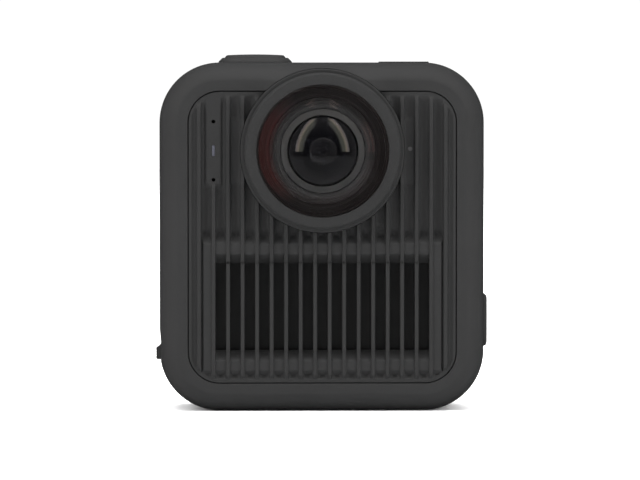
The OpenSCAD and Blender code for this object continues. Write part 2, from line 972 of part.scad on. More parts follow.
// Room for the latch: an open finger recess, and a flat bed under it for the slider
module latch_bed() {
    outer = -half_w + door_lip;
    inner = -half_w + latch_bed;
    span([-half_w - cut, -latch_w / 2 - 0.3, slot_z0], [outer + 0.1, latch_w / 2 + 0.3, slot_z1]);
    span([outer, -latch_ear_w / 2 - 0.2, slot_z0 - 0.05], [inner, latch_ear_w / 2 + 0.2, spring_top]);
    span([inner - 0.4, -1.4, door_z0 - cut], [inner, 1.4, slot_z0 + 0.1]);
}

// Thumb piece on a flat slider, with a bolt at its lower end
module door_latch() {
    outer = -half_w + door_lip + slider_play;
    inner = -half_w + latch_bed - slider_play;
    nub_z0 = slot_z0 + 0.25;
    nub_z1 = nub_z0 + latch_h;
    nub_slope = 1.1;
    color(shell_colour)
        union() {
            span([outer, -latch_w / 2, slot_z0 + 0.1], [inner, latch_w / 2, slot_z1 + 0.05]);
            span([outer, -latch_ear_w / 2, slot_z0 + 0.1], [inner, latch_ear_w / 2, latch_ear_top]);
            span([inner - 0.25, -1.2, door_z0 + 0.05], [inner, 1.2, slot_z0 + 0.2]);
            translate([0, latch_w / 2, 0])
                rotate([90, 0, 0])
                    linear_extrude(latch_w)
                        polygon([
                            [inner, nub_z0],
                            [-half_w - 0.8 * latch_rise, nub_z0],
                            [-half_w - latch_rise, nub_z0 + 0.3],
                            [-half_w - latch_rise, nub_z1 - nub_slope],
                            [-half_w - 0.45 * latch_rise, nub_z1 - 0.8 * nub_slope],
                            [outer, nub_z1],
                            [inner, nub_z1]
                        ]);
        }
}

// Two small springs over the latch's ears
module latch_springs() {
    x = -half_w + (door_lip + latch_bed) / 2;
    color(metal_colour)
        for (s = [-1, 1])
            translate([x, s * (latch_ear_w / 2 - spring_r - 0.05), latch_ear_top])
                difference() {
                    cylinder(r = spring_r, h = spring_top - latch_ear_top);
                    translate([0, 0, -cut])
                        cylinder(r = spring_r / 2, h = spring_top - latch_ear_top + 2 * cut);
                }
}

// Rubber frame on the inside of the door. It follows the curve of the body's lower corner
module side_door_seal() {
    x0 = -half_w + door_t;
    h = seal_z1 - seal_z0;
    color(rubber_colour)
        intersection() {
            translate([0, 0, (seal_z0 + seal_z1) / 2])
                difference() {
                    side_block(x0, x0 + door_seal_t, 2 * seal_half, h, 1.6);
                    side_block(x0 - cut, x0 + door_seal_t + cut, 2 * (seal_half - seal_w),
                        h - 2 * seal_w, 0.9);
                }
            translate([0, 0, body_h / 2])
                face_plate(body_w - 2 * door_t, body_h - 2 * door_t, corner_r - door_t,
                    -half_d, half_d);
        }
}

module door_hinge_pin() {
    l = door_w + 2 * move_gap + 2.4;
    color(metal_colour)
        translate([hinge_x, l / 2, hinge_z])
            rotate([90, 0, 0])
                cylinder(r = hinge_pin_r, h = l);
}

// ---- Inside --------------------------------------------------------------------------

// Frame with the battery bay below and the plate that carries the sensors above
module chassis() {
    front = battery_y0 - bay_gap - bay_wall;
    back = battery_y1 + bay_gap + bay_wall;
    floor_z = battery_z0 - bay_gap - bay_wall;
    right = inner_x - 2.2;
    slot_z = bay_top + 0.9;
    color("#5a5c60")
        difference() {
            union() {
                span([bay_x0 + 1, front, floor_z], [battery_x1 + 1.6, back, bay_top]);
                span([-right, front, floor_z], [right, front + bay_wall, bay_top]);
                span([bay_x0, -seal_half, seal_z0 + 0.2], [bay_x0 + 1, seal_half, seal_z1 - 0.1]);
                span([-right, -plate_half, bay_top - 0.1], [right, plate_half, lens_z]);
                span([-right + 6, -plate_half, lens_z],
                    [right - 6, plate_half, shutter_switch_z - switch_h]);
                span([mode_switch_x - switch_h - bay_wall, front, mode_z - switch_w / 2],
                    [mode_switch_x - switch_h, switch_w / 2, mode_z + switch_w / 2]);
                for (rear = [false, true])
                    on_lens_axis(rear)
                        ring(barrel_r + cradle_t, barrel_r + fit_gap, 0, cradle_y);
            }
            span([-half_w, battery_y0 - bay_gap, battery_z0 - bay_gap],
                [battery_x1 + 1.2, battery_y1 + bay_gap, battery_z1 + bay_gap]);
            span([-half_w, -usb_w / 2 - fit_gap, usb_z0 - 2 * fit_gap],
                [bay_x0 + usb_l + 1, usb_w / 2 + fit_gap, usb_z0 + usb_h + fit_gap]);
            span([-half_w, -card_w / 2 - 0.9, card_z0 - fit_gap],
                [bay_x0 + card_l + 1, card_w / 2 + 0.9, card_z0 + card_slot_h + fit_gap]);
            for (s = [-1, 1])
                translate([s * board_screw_x, 0, 0])
                    screw_hole(front);
            span([0.5, -2, slot_z], [6.5, 2, slot_z + 0.9]);
            span([-6.5, -3.5, slot_z], [6.5, -plate_half, lens_z]);
            span([-6.5, plate_half, slot_z], [6.5, 3.5, lens_z]);
            span([inner_x - speaker_t - 2 * fit_gap, -speaker_w / 2 - fit_gap,
                    speaker_z - speaker_h / 2 - fit_gap],
                [half_w, speaker_w / 2 + fit_gap, speaker_z + speaker_h / 2 + fit_gap]);
        }
}

// Pair of holes for the board's screws, one above the other
module screw_hole(front) {
    for (z = board_screw_z)
        translate([0, front + bay_wall + cut, z])
            rotate([90, 0, 0])
                cylinder(r = board_screw_r + fit_gap / 2, h = bay_wall + 2 * cut);
}

module battery() {
    color("#2b2d31")
        union() {
            span([battery_x0, battery_y0, battery_z0], [battery_x1, battery_y1, battery_z1]);
            span([battery_x0 - 0.5, battery_y0 + 4, battery_z0 + 8],
                [battery_x0 + fit_gap, battery_y1 - 4, battery_z0 + 9]);
        }
}

// Contact block at the inner end of the battery bay
module battery_contacts() {
    color(metal_colour)
        for (i = [-1:1])
            span([battery_x1 + 0.1, battery_y0 + battery_t / 2 + i * 2.4 - 0.5, battery_z0 + 3],
                [battery_x1 + 1.1, battery_y0 + battery_t / 2 + i * 2.4 + 0.5, battery_z0 + 6]);
}

module usb_port() {
    x0 = bay_x0;
    mid = usb_z0 + usb_h / 2;
    color(metal_colour)
        union() {
            difference() {
                translate([0, 0, mid])
                    side_block(x0, x0 + usb_l, usb_w, usb_h, 1.5);
                translate([0, 0, mid])
                    side_block(x0 - cut, x0 + usb_l - 1, usb_w - 0.6, usb_h - 0.6, 1.2);
            }
            span([x0 + 0.8, -3.35, mid - 0.35], [x0 + usb_l - 0.5, 3.35, mid + 0.35]);
        }
}

module card_slot() {
    half = card_w / 2 + 0.7;
    mid = card_z0 + card_slot_h / 2;
    color(metal_colour)
        difference() {
            span([bay_x0, -half, card_z0], [bay_x0 + card_l + 0.6, half, card_z0 + card_slot_h]);
            span([bay_x0 - cut, -card_w / 2 - fit_gap, mid - card_t / 2 - fit_gap],
                [bay_x0 + card_l, card_w / 2 + fit_gap, mid + card_t / 2 + fit_gap]);
        }
}

module memory_card() {
    mid = card_z0 + card_slot_h / 2;
    color(black_colour)
        span([bay_x0 - 0.3, -card_w / 2, mid - card_t / 2],
            [bay_x0 + card_l - 0.3, card_w / 2, mid + card_t / 2]);
}

// Board with its processor facing the heat spreader
module main_board() {
    color(board_colour)
        union() {
            difference() {
                span([-board_w / 2, -board_y1, board_z0], [board_w / 2, -board_y0, bay_top]);
                for (s = [-1, 1], z = board_screw_z)
                    translate([s * board_screw_x, -board_y0 + cut, z])
                        rotate([90, 0, 0])
                            cylinder(r = board_screw_r + fit_gap / 2, h = board_t + 2 * cut);
            }
            span([-7, -chip_y, window_z - 7], [7, -board_y1 + fit_gap, window_z + 7]);
            span([11, -chip_y, window_z - 4], [19, -board_y1 + fit_gap, window_z + 4]);
        }
}

module board_screws() {
    tip = -(battery_y0 - bay_gap - bay_wall);
    color(metal_colour)
        for (s = [-1, 1], z = board_screw_z)
            translate([s * board_screw_x, 0, z])
                rotate([90, 0, 0])
                    union() {
                        translate([0, 0, tip - bay_wall - fit_gap])
                            cylinder(r = board_screw_r, h = board_y1 - tip + bay_wall + 0.2);
                        translate([0, 0, board_y1])
                            cylinder(r = 1, h = 0.5);
                    }
}

module thermal_pad() {
    color("#8f98a3")
        span([-7, -chip_y - pad_t, window_z - 7], [7, -chip_y, window_z + 7]);
}

// Flat cables from the sensors down to the main board
module sensor_flexes() {
    y0 = sensor_y0 + sensor_t;
    front = -(battery_y0 - bay_gap - bay_wall);
    color("#b5793a")
        for (side = [-1, 1])
            translate([side * 3.5 - 2.5, 0, 0])
                span([0, -front - flex_t - 0.05, bay_top - 4], [5, -front - 0.05, bay_top + 1.3]);
    color("#b5793a") {
        span([-6, -front - flex_t - 0.05, bay_top + 1.3 - flex_t], [-1, -y0, bay_top + 1.3]);
        span([-6, -y0 - flex_t, bay_top + 1.3 - flex_t], [-1, -y0, lens_z - 6]);
        span([1, -front - flex_t - 0.05, bay_top + 1.3 - flex_t], [6, y0, bay_top + 1.3]);
        span([1, y0, bay_top + 1.3 - flex_t], [6, y0 + flex_t, lens_z - 6]);
    }
}

module antenna() {
    color("#b98a3c")
        span([2, -4, top_in - 0.4], [10, 4, top_in - fit_gap]);
}

module speaker() {
    color(black_colour)
        translate([0, 0, speaker_z])
            side_block(inner_x - fit_gap - speaker_t, inner_x - fit_gap, speaker_w,
                speaker_h, 1.5);
}

// Two capsules behind the front panel
module front_microphones() {
    color(metal_colour)
        for (s = [-1, 1])
            translate([fin_x(1), -core_back + fit_gap, lens_z + s * mic_drop])
                rotate([-90, 0, 0])
                    cylinder(r = 1.3, h = 1.2);
}

// Light guide of the status light
module status_light() {
    color("#dfe3ea")
        translate([fin_x(1), 0, lens_z])
            union() {
                face_plate(light_w - fit_gap, light_h - fit_gap, light_w / 2.5,
                    -panel_face, -core_back + 0.5);
                face_plate(2, 3.4, 0.5, -core_back + fit_gap, -core_back + 0.9);
            }
}

// ---- Buttons -------------------------------------------------------------------------

// Sloped surround of the shutter button
module shutter_bezel() {
    outer_w = neck_w + 1.3;
    outer_d = neck_d + 1.3;
    r = shutter_r + 1;
    color(shell_colour)
        translate([-shutter_x, 0, 0])
            difference() {
                union() {
                    hull() {
                        top_block(outer_w, outer_d, r, body_h, body_h + 0.25, $fn = 32);
                        top_block(outer_w - 2 * bezel_slope, outer_d - 2 * bezel_slope,
                            r - bezel_slope, bezel_top - 0.05, bezel_top, $fn = 32);
                    }
                    top_block(neck_w, neck_d, shutter_r + 0.5, top_in, body_h + 0.1);
                }
                top_block(shutter_w + 2 * move_gap, shutter_d + 2 * move_gap,
                    shutter_r + move_gap, top_in - cut, bezel_top + cut);
            }
}

// Shutter button with a slightly crowned top, and a flange under the bezel's neck
module shutter_button() {
    top = body_h + shutter_rise;
    flange_z = top_in - 0.2;
    color(shell_colour)
        translate([-shutter_x, 0, 0])
            union() {
                hull() {
                    top_block(shutter_w, shutter_d, shutter_r, flange_z - flange_t,
                        bezel_top, $fn = 32);
                    top_block(shutter_w - 0.7, shutter_d - 0.7, shutter_r - 0.3, bezel_top,
                        top - cap_crown, $fn = 32);
                    top_block(shutter_w / 2, shutter_d / 2, shutter_r / 2, top - 0.05,
                        top, $fn = 32);
                }
                top_block(neck_w, neck_d, shutter_r + 0.5, flange_z - flange_t, flange_z);
                translate([0, 0, flange_z - flange_t - stem_l])
                    cylinder(r = 1.5, h = stem_l + 0.1);
            }
}

module shutter_switch() {
    z1 = shutter_switch_z;
    color(black_colour)
        translate([-shutter_x, 0, 0])
            union() {
                top_block(switch_w, switch_w, 0.5, z1 - switch_h, z1 - 0.4);
                translate([0, 0, z1 - 0.5])
                    cylinder(r = 1.5, h = 0.5);
            }
}

// Long side button with bevelled edges and a flange inside the wall
module mode_button() {
    x1 = half_w + mode_rise;
    bevel = 0.5;
    color(shell_colour)
        translate([0, 0, mode_z])
            union() {
                hull() {
                    side_block(inner_x - 0.3, x1 - bevel, mode_w, mode_h, mode_r, $fn = 32);
                    side_block(x1 - 0.05, x1, mode_w - 2 * bevel, mode_h - 2 * bevel,
                        mode_r - bevel, $fn = 32);
                }
                side_block(inner_x - 0.2 - mode_flange_t, inner_x - 0.2,
                    mode_w + 2 * mode_flange, mode_h + 2 * mode_flange, mode_r);
                side_block(inner_x - 0.2 - mode_flange_t - mode_stem, inner_x - 0.3, 2, 2, 0.5);
            }
}

module mode_switch() {
    x1 = mode_switch_x;
    color(black_colour)
        translate([0, 0, mode_z])
            union() {
                side_block(x1 - switch_h, x1 - 0.4, switch_w, switch_w, 0.5);
                side_block(x1 - 0.5, x1, 2.6, 2.6, 1.2);
            }
}

// ---- Folding fingers and tripod thread ------------------------------------------------

// Right finger, folded flat. Its eye points up and down
module right_finger() {
    eye_x = pivot_x + finger_l;
    z0 = pivot_z - finger_t / 2;
    color(shell_colour)
        difference() {
            union() {
                translate([eye_x, 0, z0])
                    cylinder(r = finger_r, h = finger_t);
                span([pivot_x, -finger_r, z0], [eye_x, finger_r, z0 + finger_t]);
                translate([pivot_x, finger_r, pivot_z])
                    rotate([90, 0, 0])
                        cylinder(r = finger_t / 2, h = 2 * finger_r);
            }
            span([0, -root_half_w, -cut], [root_x, root_half_w, recess_h + cut]);
            translate([eye_x, 0, -cut])
                cylinder(r = eye_d / 2, h = recess_h + 2 * cut);
            translate([pivot_x, finger_r + cut, pivot_z])
                rotate([90, 0, 0])
                    cylinder(r = finger_pin_r + run_gap, h = 2 * (finger_r + cut));
        }
}

module left_finger() {
    rotate([0, 0, 180])
        right_finger();
}

// Four short pins, two for each finger
module finger_pins() {
    y0 = root_half_w + 0.2;
    color(metal_colour)
        for (sx = [-1, 1], sy = [0, 1])
            mirror([0, sy, 0])
                translate([sx * pivot_x, tray_half_w, pivot_z])
                    rotate([90, 0, 0])
                        cylinder(r = finger_pin_r, h = tray_half_w - y0);
}

// Metal tray that forms the recess under the camera
module mount_tray() {
    color("#4b4d51")
        difference() {
            top_block(2 * tray_half_l, 2 * tray_half_w, 1.4, 0, tray_top);
            top_block(2 * recess_half_l, 2 * recess_half_w, recess_half_w - 0.8, -cut, recess_h);
            translate([0, 0, -cut])
                cylinder(r = insert_r + fit_gap / 2, h = tray_top + 2 * cut);
            for (sx = [-1, 1])
                translate([sx * pivot_x, tray_half_w + cut, pivot_z])
                    rotate([90, 0, 0])
                        cylinder(r = finger_pin_r, h = 2 * (tray_half_w + cut));
            for (sx = [-1, 1], sy = [-1, 1])
                translate([sx * tray_screw_x, sy * tray_screw_y, recess_h - cut])
                    cylinder(r = tray_screw_r + fit_gap / 2, h = tray_top);
        }
}

// Threaded bush of the tripod mount, drawn with a plain bore
module tripod_insert() {
    color("#b08d57")
        difference() {
            union() {
                translate([0, 0, insert_z0])
                    cylinder(r = insert_r, h = insert_top - insert_z0);
                translate([0, 0, tray_top + fit_gap / 2])
                    cylinder(r = insert_r + 1.2, h = 0.8);
            }
            translate([0, 0, insert_z0 - cut])
                cylinder(r = tripod_d / 2, h = tripod_depth + cut);
        }
}

// Screws through the tray's roof
module tray_screws() {
    color(metal_colour)
        for (sx = [-1, 1], sy = [-1, 1])
            translate([sx * tray_screw_x, sy * tray_screw_y, 0])
                union() {
                    translate([0, 0, recess_h + 0.1])
                        cylinder(r = tray_screw_r, h = tray_top - recess_h + 0.9);
                    translate([0, 0, tray_top])
                        cylinder(r = 1.3, h = 0.6);
                }
}

// ---- Parts ---------------------------------------------------------------------------

housing();
front_panel();
front_panel_seal();
heat_spreader();
rear_panel();
rear_panel_seal();
chassis();
touch_glass();
display_module();
top_mic_cover();
front_lens_collar();
front_lens_dome();
front_lens_seal();
front_lens_mount();
front_lens_barrel();
front_lens_retainer();
front_lens_element();
front_inner_lenses();
front_image_sensor();
rear_lens_collar();
rear_lens_dome();
rear_lens_seal();
rear_lens_mount();
rear_lens_barrel();
rear_lens_retainer();
rear_lens_element();
rear_inner_lenses();
rear_image_sensor();
side_door();
side_door_seal();
door_hinge_pin();
door_latch();
latch_springs();
battery();
battery_contacts();
usb_port();
card_slot();
memory_card();
shutter_bezel();
shutter_button();
shutter_switch();
mode_button();
mode_switch();
status_light();
index_dots();
front_microphones();
speaker();
main_board();
board_screws();
thermal_pad();
sensor_flexes();
antenna();
left_finger();
right_finger();
finger_pins();
mount_tray();
tripod_insert();
tray_screws();
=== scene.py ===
import logging
import math
from dataclasses import dataclass, field, fields
from enum import Enum
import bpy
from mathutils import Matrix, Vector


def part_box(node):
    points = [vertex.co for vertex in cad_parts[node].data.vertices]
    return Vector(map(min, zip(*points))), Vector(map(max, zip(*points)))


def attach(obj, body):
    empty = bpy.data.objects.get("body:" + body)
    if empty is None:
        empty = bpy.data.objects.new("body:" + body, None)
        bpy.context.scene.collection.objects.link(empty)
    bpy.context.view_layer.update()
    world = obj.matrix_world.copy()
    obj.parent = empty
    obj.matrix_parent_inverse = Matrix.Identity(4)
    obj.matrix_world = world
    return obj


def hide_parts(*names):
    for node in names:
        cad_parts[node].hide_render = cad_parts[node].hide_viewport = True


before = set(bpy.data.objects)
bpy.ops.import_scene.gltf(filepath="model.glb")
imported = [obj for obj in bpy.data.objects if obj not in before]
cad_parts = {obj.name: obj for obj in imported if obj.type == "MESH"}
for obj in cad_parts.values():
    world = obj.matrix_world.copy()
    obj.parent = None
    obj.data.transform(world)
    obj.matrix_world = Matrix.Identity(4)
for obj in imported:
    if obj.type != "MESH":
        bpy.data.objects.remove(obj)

from types import SimpleNamespace
from typing import ClassVar, Iterable, Sequence

import bmesh
import bpy
import numpy as np
from mathutils import Vector

LOG = logging.getLogger("action_camera")
MM = 0.001
BODY = "camera_body"
AXIS_RADIUS = 0.004
CROWN_SHARES = (0.86, 0.7, 0.52, 0.34, 0.16, 0.03)

Pair = tuple[float, float]
Colour = tuple[float, float, float]


# ---- Places on the body ---------------------------------------------------------------


class Facing(Enum):
    """Side of the body that a piece looks out of. Its value is the (u, v, h) frame's axes."""

    FRONT = ((1, 0, 0), (0, 0, 1), (0, -1, 0))
    REAR = ((-1, 0, 0), (0, 0, 1), (0, 1, 0))
    LEFT = ((0, -1, 0), (0, 0, 1), (-1, 0, 0))
    RIGHT = ((0, 1, 0), (0, 0, 1), (1, 0, 0))
    TOP = ((1, 0, 0), (0, 1, 0), (0, 0, 1))
    BOTTOM = ((1, 0, 0), (0, -1, 0), (0, 0, -1))

    def place(self, local: np.ndarray) -> np.ndarray:
        """Turns points from (u, v, h) on this side into the body's (x, y, z).

        Args:
            local: Points as rows of u, v and outward height h.

        Returns:
            The same points as rows of x, y and z.
        """
        return np.asarray(local, float) @ np.array(self.value, float)


@dataclass(frozen=True)
class Box:
    """Box of a CAD node in millimetres, from its lowest to its highest corner."""

    low: np.ndarray
    high: np.ndarray

    @classmethod
    def of(cls, node: str) -> "Box":
        """Reads a node's box from the frame."""
        low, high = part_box(node)
        return cls(np.array(low) / MM, np.array(high) / MM)

    @property
    def size(self) -> np.ndarray:
        """Width, depth and height."""
        return self.high - self.low

    @property
    def middle(self) -> np.ndarray:
        """Place of the middle."""
        return (self.low + self.high) / 2


def arc(centre: Pair, radius: float, start: float, end: float, steps: int) -> list[Pair]:
    """Lays points along an arc.

    Args:
        centre: Centre of the arc.
        radius: Radius of the arc.
        start: First angle in degrees.
        end: Last angle in degrees.
        steps: Number of straight pieces.

    Returns:
        The points, both ends included.
    """
    angles = np.radians(np.linspace(start, end, steps + 1))
    return [(centre[0] + radius * math.cos(a), centre[1] + radius * math.sin(a)) for a in angles]


@dataclass(frozen=True)
class Outline:
    """Rectangle with round corners, as stations that can be moved inwards together."""

    width: float
    height: float
    radius: float
    corner_steps: int = 12
    side_steps: int = 1

    def stations(self) -> tuple[np.ndarray, np.ndarray]:
        """Gives each station's corner centre and its outward direction.

        Returns:
            Two arrays of rows of u and v, in order round the outline.
        """
        centres, directions = [], []
        a, b = self.width / 2 - self.radius, self.height / 2 - self.radius
        corners = [(a, -b), (a, b), (-a, b), (-a, -b)]
        for i, (here, before) in enumerate(zip(corners, [corners[-1]] + corners[:-1])):
            facing = np.radians(-90 + 90 * i)
            for t in np.linspace(0, 1, self.side_steps + 1)[:-1]:
                centres.append(np.array(before) * (1 - t) + np.array(here) * t)
                directions.append((math.cos(facing), math.sin(facing)))
            for t in np.linspace(0, math.pi / 2, self.corner_steps + 1)[:-1]:
                centres.append(np.array(here, float))
                directions.append((math.cos(facing + t), math.sin(facing + t)))
        return np.array(centres), np.array(directions)

    def loop(self, inset: float = 0.0) -> np.ndarray:
        """Gives the outline's points, moved inwards by a distance.

        Args:
            inset: Distance from the outline, which is negative outside it.

        Returns:
            Rows of u and v.
        """
        centres, directions = self.stations()
        return centres + directions * (self.radius - inset)


# ---- Meshes ----------------------------------------------------------------------------


@dataclass
class Shape:
    """Points in millimetres and the faces between them."""

    points: np.ndarray
    faces: list[tuple[int, ...]]

    def __add__(self, other: "Shape") -> "Shape":
        """Puts two shapes in one, side by side."""
        shift = len(self.points)
        moved = [tuple(i + shift for i in face) for face in other.faces]
        return Shape(np.vstack([self.points, other.points]), self.faces + moved)

    def moved(self, x: float = 0.0, y: float = 0.0, z: float = 0.0) -> "Shape":
        """Gives a copy that is moved by x, y and z."""
        return Shape(self.points + np.array([x, y, z]), list(self.faces))


def loft(loops: Sequence[np.ndarray], closed: bool = False, capped: bool = True) -> Shape:
    """Joins loops of the same number of points with faces.

    Args:
        loops: The loops, each as rows of x, y and z.
        closed: Whether the last loop joins the first, as in a ring.
        capped: Whether the first and last loops are filled.

    Returns:
        The joined shape.
    """
    count, n = len(loops), len(loops[0])
    faces: list[tuple[int, ...]] = []
    for k in range(count if closed else count - 1):
        a, b = k * n, ((k + 1) % count) * n
        faces += [(a + i, a + (i + 1) % n, b + (i + 1) % n, b + i) for i in range(n)]
    if capped and not closed:
        faces.append(tuple(reversed(range(n))))
        faces.append(tuple((count - 1) * n + i for i in range(n)))
    return Shape(np.vstack(loops), faces)


def rise(outline: Outline, facing: Facing, centre: Pair, levels: Sequence[Pair],
         closed: bool = False, crown: float = 0.0) -> Shape:
    """Builds a plate or a button from an outline that shrinks as it rises.

    Args:
        outline: Outline of the piece.
        facing: Side of the body that it looks out of.
        centre: Place of its middle on that side.
        levels: Pairs of inset and outward height.
        closed: Whether the levels go round a ring's wall.
        crown: Height of a gentle dome over the last level.

    Returns:
        The shape.
    """
    loops = []
    for inset, height in levels:
        ring = outline.loop(inset) + centre
        loops.append(np.column_stack([ring, np.full(len(ring), height)]))
    if crown:
        top, middle = loops[-1], np.array([*centre, levels[-1][1]])
        for share in CROWN_SHARES:
            ring = middle + (top - middle) * share
            ring[:, 2] += crown * (1 - share * share)
            loops.append(ring)
    shape = loft(loops, closed=closed)
    return Shape(facing.place(shape.points), shape.faces)


def turned(profile: Sequence[Pair], steps: int = 128, closed: bool = True) -> Shape:
    """Turns a profile round the local height axis.

    Args:
        profile: Pairs of radius and height.
        steps: Number of pieces round the axis.
        closed: Whether the profile closes on itself. An open one starts and ends on the axis.

    Returns:
        The shape, in local u, v and h.
    """
    angles = np.linspace(0, 2 * math.pi, steps, endpoint=False)
    ring = np.column_stack([np.cos(angles), np.sin(angles)])
    loops = [np.column_stack([ring * max(r, AXIS_RADIUS), np.full(steps, h)]) for r, h in profile]
    return loft(loops, closed=closed)


def rod(facing: Facing, centre: Pair, radius: float, low: float, high: float,
        bevel: float = 0.0, steps: int = 48) -> Shape:
    """Builds a round bar or a round cutter along a side's outward axis.

    Args:
        facing: Side that the axis points out of.
        centre: Place of the axis on that side.
        radius: Radius of the bar.
        low: Height of its lower end.
        high: Height of its upper end.
        bevel: Width of the bevel at both ends.
        steps: Number of pieces round the axis.

    Returns:
        The shape.
    """
    edge = [(radius - bevel, low), (radius, low + bevel), (radius, high - bevel), (radius - bevel, high)]
    profile = [(0.0, low)] + (edge if bevel else [(radius, low), (radius, high)]) + [(0.0, high)]
    shape = turned(profile, steps, closed=False)
    return Shape(facing.place(shape.points + np.array([*centre, 0.0])), shape.faces)


def block(low: Sequence[float], high: Sequence[float]) -> Shape:
    """Builds a plain box for cutting, from its lowest to its highest corner."""
    (x0, y0, z0), (x1, y1, z1) = low, high
    loops = [np.array([(x0, y0, z), (x1, y0, z), (x1, y1, z), (x0, y1, z)]) for z in (z0, z1)]
    return loft(loops)


def sharpen(mesh: bpy.types.Mesh, angle: float) -> None:
    """Shades a mesh smooth and marks its edges past an angle as sharp.

    Args:
        mesh: The mesh.
        angle: Angle between two faces in degrees.
    """
    work = bmesh.new()
    work.from_mesh(mesh)
    for face in work.faces:
        face.smooth = True
    for edge in work.edges:
        edge.smooth = len(edge.link_faces) != 2 or edge.calc_face_angle(0.0) < math.radians(angle)
    work.to_mesh(mesh)
    work.free()


def make_object(name: str, shape: Shape, finish: bpy.types.Material | None = None,
                angle: float = 32.0) -> bpy.types.Object:
    """Makes a mesh object from a shape, with its faces pointing outwards.

    Args:
        name: Name of the object.
        shape: Its shape in millimetres.
        finish: Its material.
        angle: Angle past which an edge stays sharp.

    Returns:
        The object, at the origin.
    """
    mesh = bpy.data.meshes.new(name)
    mesh.from_pydata((shape.points * MM).tolist(), [], shape.faces)
    work = bmesh.new()
    work.from_mesh(mesh)
    bmesh.ops.remove_doubles(work, verts=work.verts, dist=1e-7)
    bmesh.ops.recalc_face_normals(work, faces=work.faces)
    work.to_mesh(mesh)
    work.free()
    sharpen(mesh, angle)
    if finish:
        mesh.materials.append(finish)
    piece = bpy.data.objects.new(name, mesh)
    bpy.context.scene.collection.objects.link(piece)
    return piece


def settle(piece: bpy.types.Object, angle: float | None = None) -> bpy.types.Object:
    """Turns a piece's modifiers into plain mesh.

    Args:
        piece: The piece.
        angle: Angle past which an edge is marked sharp, or None to leave the marks.

    Returns:
        The same piece.
    """
    graph = bpy.context.evaluated_depsgraph_get()
    graph.update()
    mesh = bpy.data.meshes.new_from_object(piece.evaluated_get(graph))
    mesh.name = piece.name
    piece.modifiers.clear()
    old, piece.data = piece.data, mesh
    bpy.data.meshes.remove(old)
    if angle is not None:
        sharpen(mesh, angle)
    return piece


def carve(piece: bpy.types.Object, cutters: Iterable[Shape], keep: bool = False,
          angle: float = 32.0) -> bpy.types.Object:
    """Cuts shapes out of a piece, or keeps only what lies inside them.

    Args:
        piece: The piece.
        cutters: Closed shapes.
        keep: Whether what lies inside is kept.
        angle: Angle past which an edge stays sharp.

    Returns:
        The same piece.
    """
    tools = [make_object("cutter", cutter) for cutter in cutters]
    for tool in tools:
        cut = piece.modifiers.new("cut", "BOOLEAN")
        cut.operation = "INTERSECT" if keep else "DIFFERENCE"
        cut.solver = "MANIFOLD"
        cut.object = tool
    settle(piece, angle)
    for tool in tools:
        mesh = tool.data
        bpy.data.objects.remove(tool)
        bpy.data.meshes.remove(mesh)
    return piece


def soften(piece: bpy.types.Object, width: float, segments: int = 2,
           angle: float = 40.0) -> bpy.types.Object:
    """Rounds a piece's sharp edges a little.

    Args:
        piece: The piece.
        width: Width of the rounding in millimetres.
        segments: Number of faces across the rounding.
        angle: Angle between two faces from which their edge is rounded.

    Returns:
        The same piece.
    """
    bevel = piece.modifiers.new("edge", "BEVEL")
    bevel.width = width * MM
    bevel.segments = segments
    bevel.limit_method = "ANGLE"
    bevel.angle_limit = math.radians(angle)
    bevel.use_clamp_overlap = True
    bevel.harden_normals = False
    return settle(piece, 34.0)


def refined(node: str, finish: bpy.types.Material, width: float) -> bpy.types.Object:
    """Makes a piece from a CAD node's own shape, with softened edges.

    Args:
        node: Name of the node.
        finish: Material of the piece.
        width: Width of the edge rounding in millimetres.

    Returns:
        The new piece, not yet riding on a body.
    """
    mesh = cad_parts[node].data.copy()
    mesh.materials.clear()
    mesh.materials.append(finish)
    work = bmesh.new()
    work.from_mesh(mesh)
    bmesh.ops.remove_doubles(work, verts=work.verts, dist=2e-7)
    bmesh.ops.dissolve_limit(work, angle_limit=math.radians(1.0), verts=work.verts, edges=work.edges)
    work.to_mesh(mesh)
    work.free()
    piece = bpy.data.objects.new(node + "_look", mesh)
    bpy.context.scene.collection.objects.link(piece)
    return soften(piece, width)


# ---- Node trees ------------------------------------------------------------------------


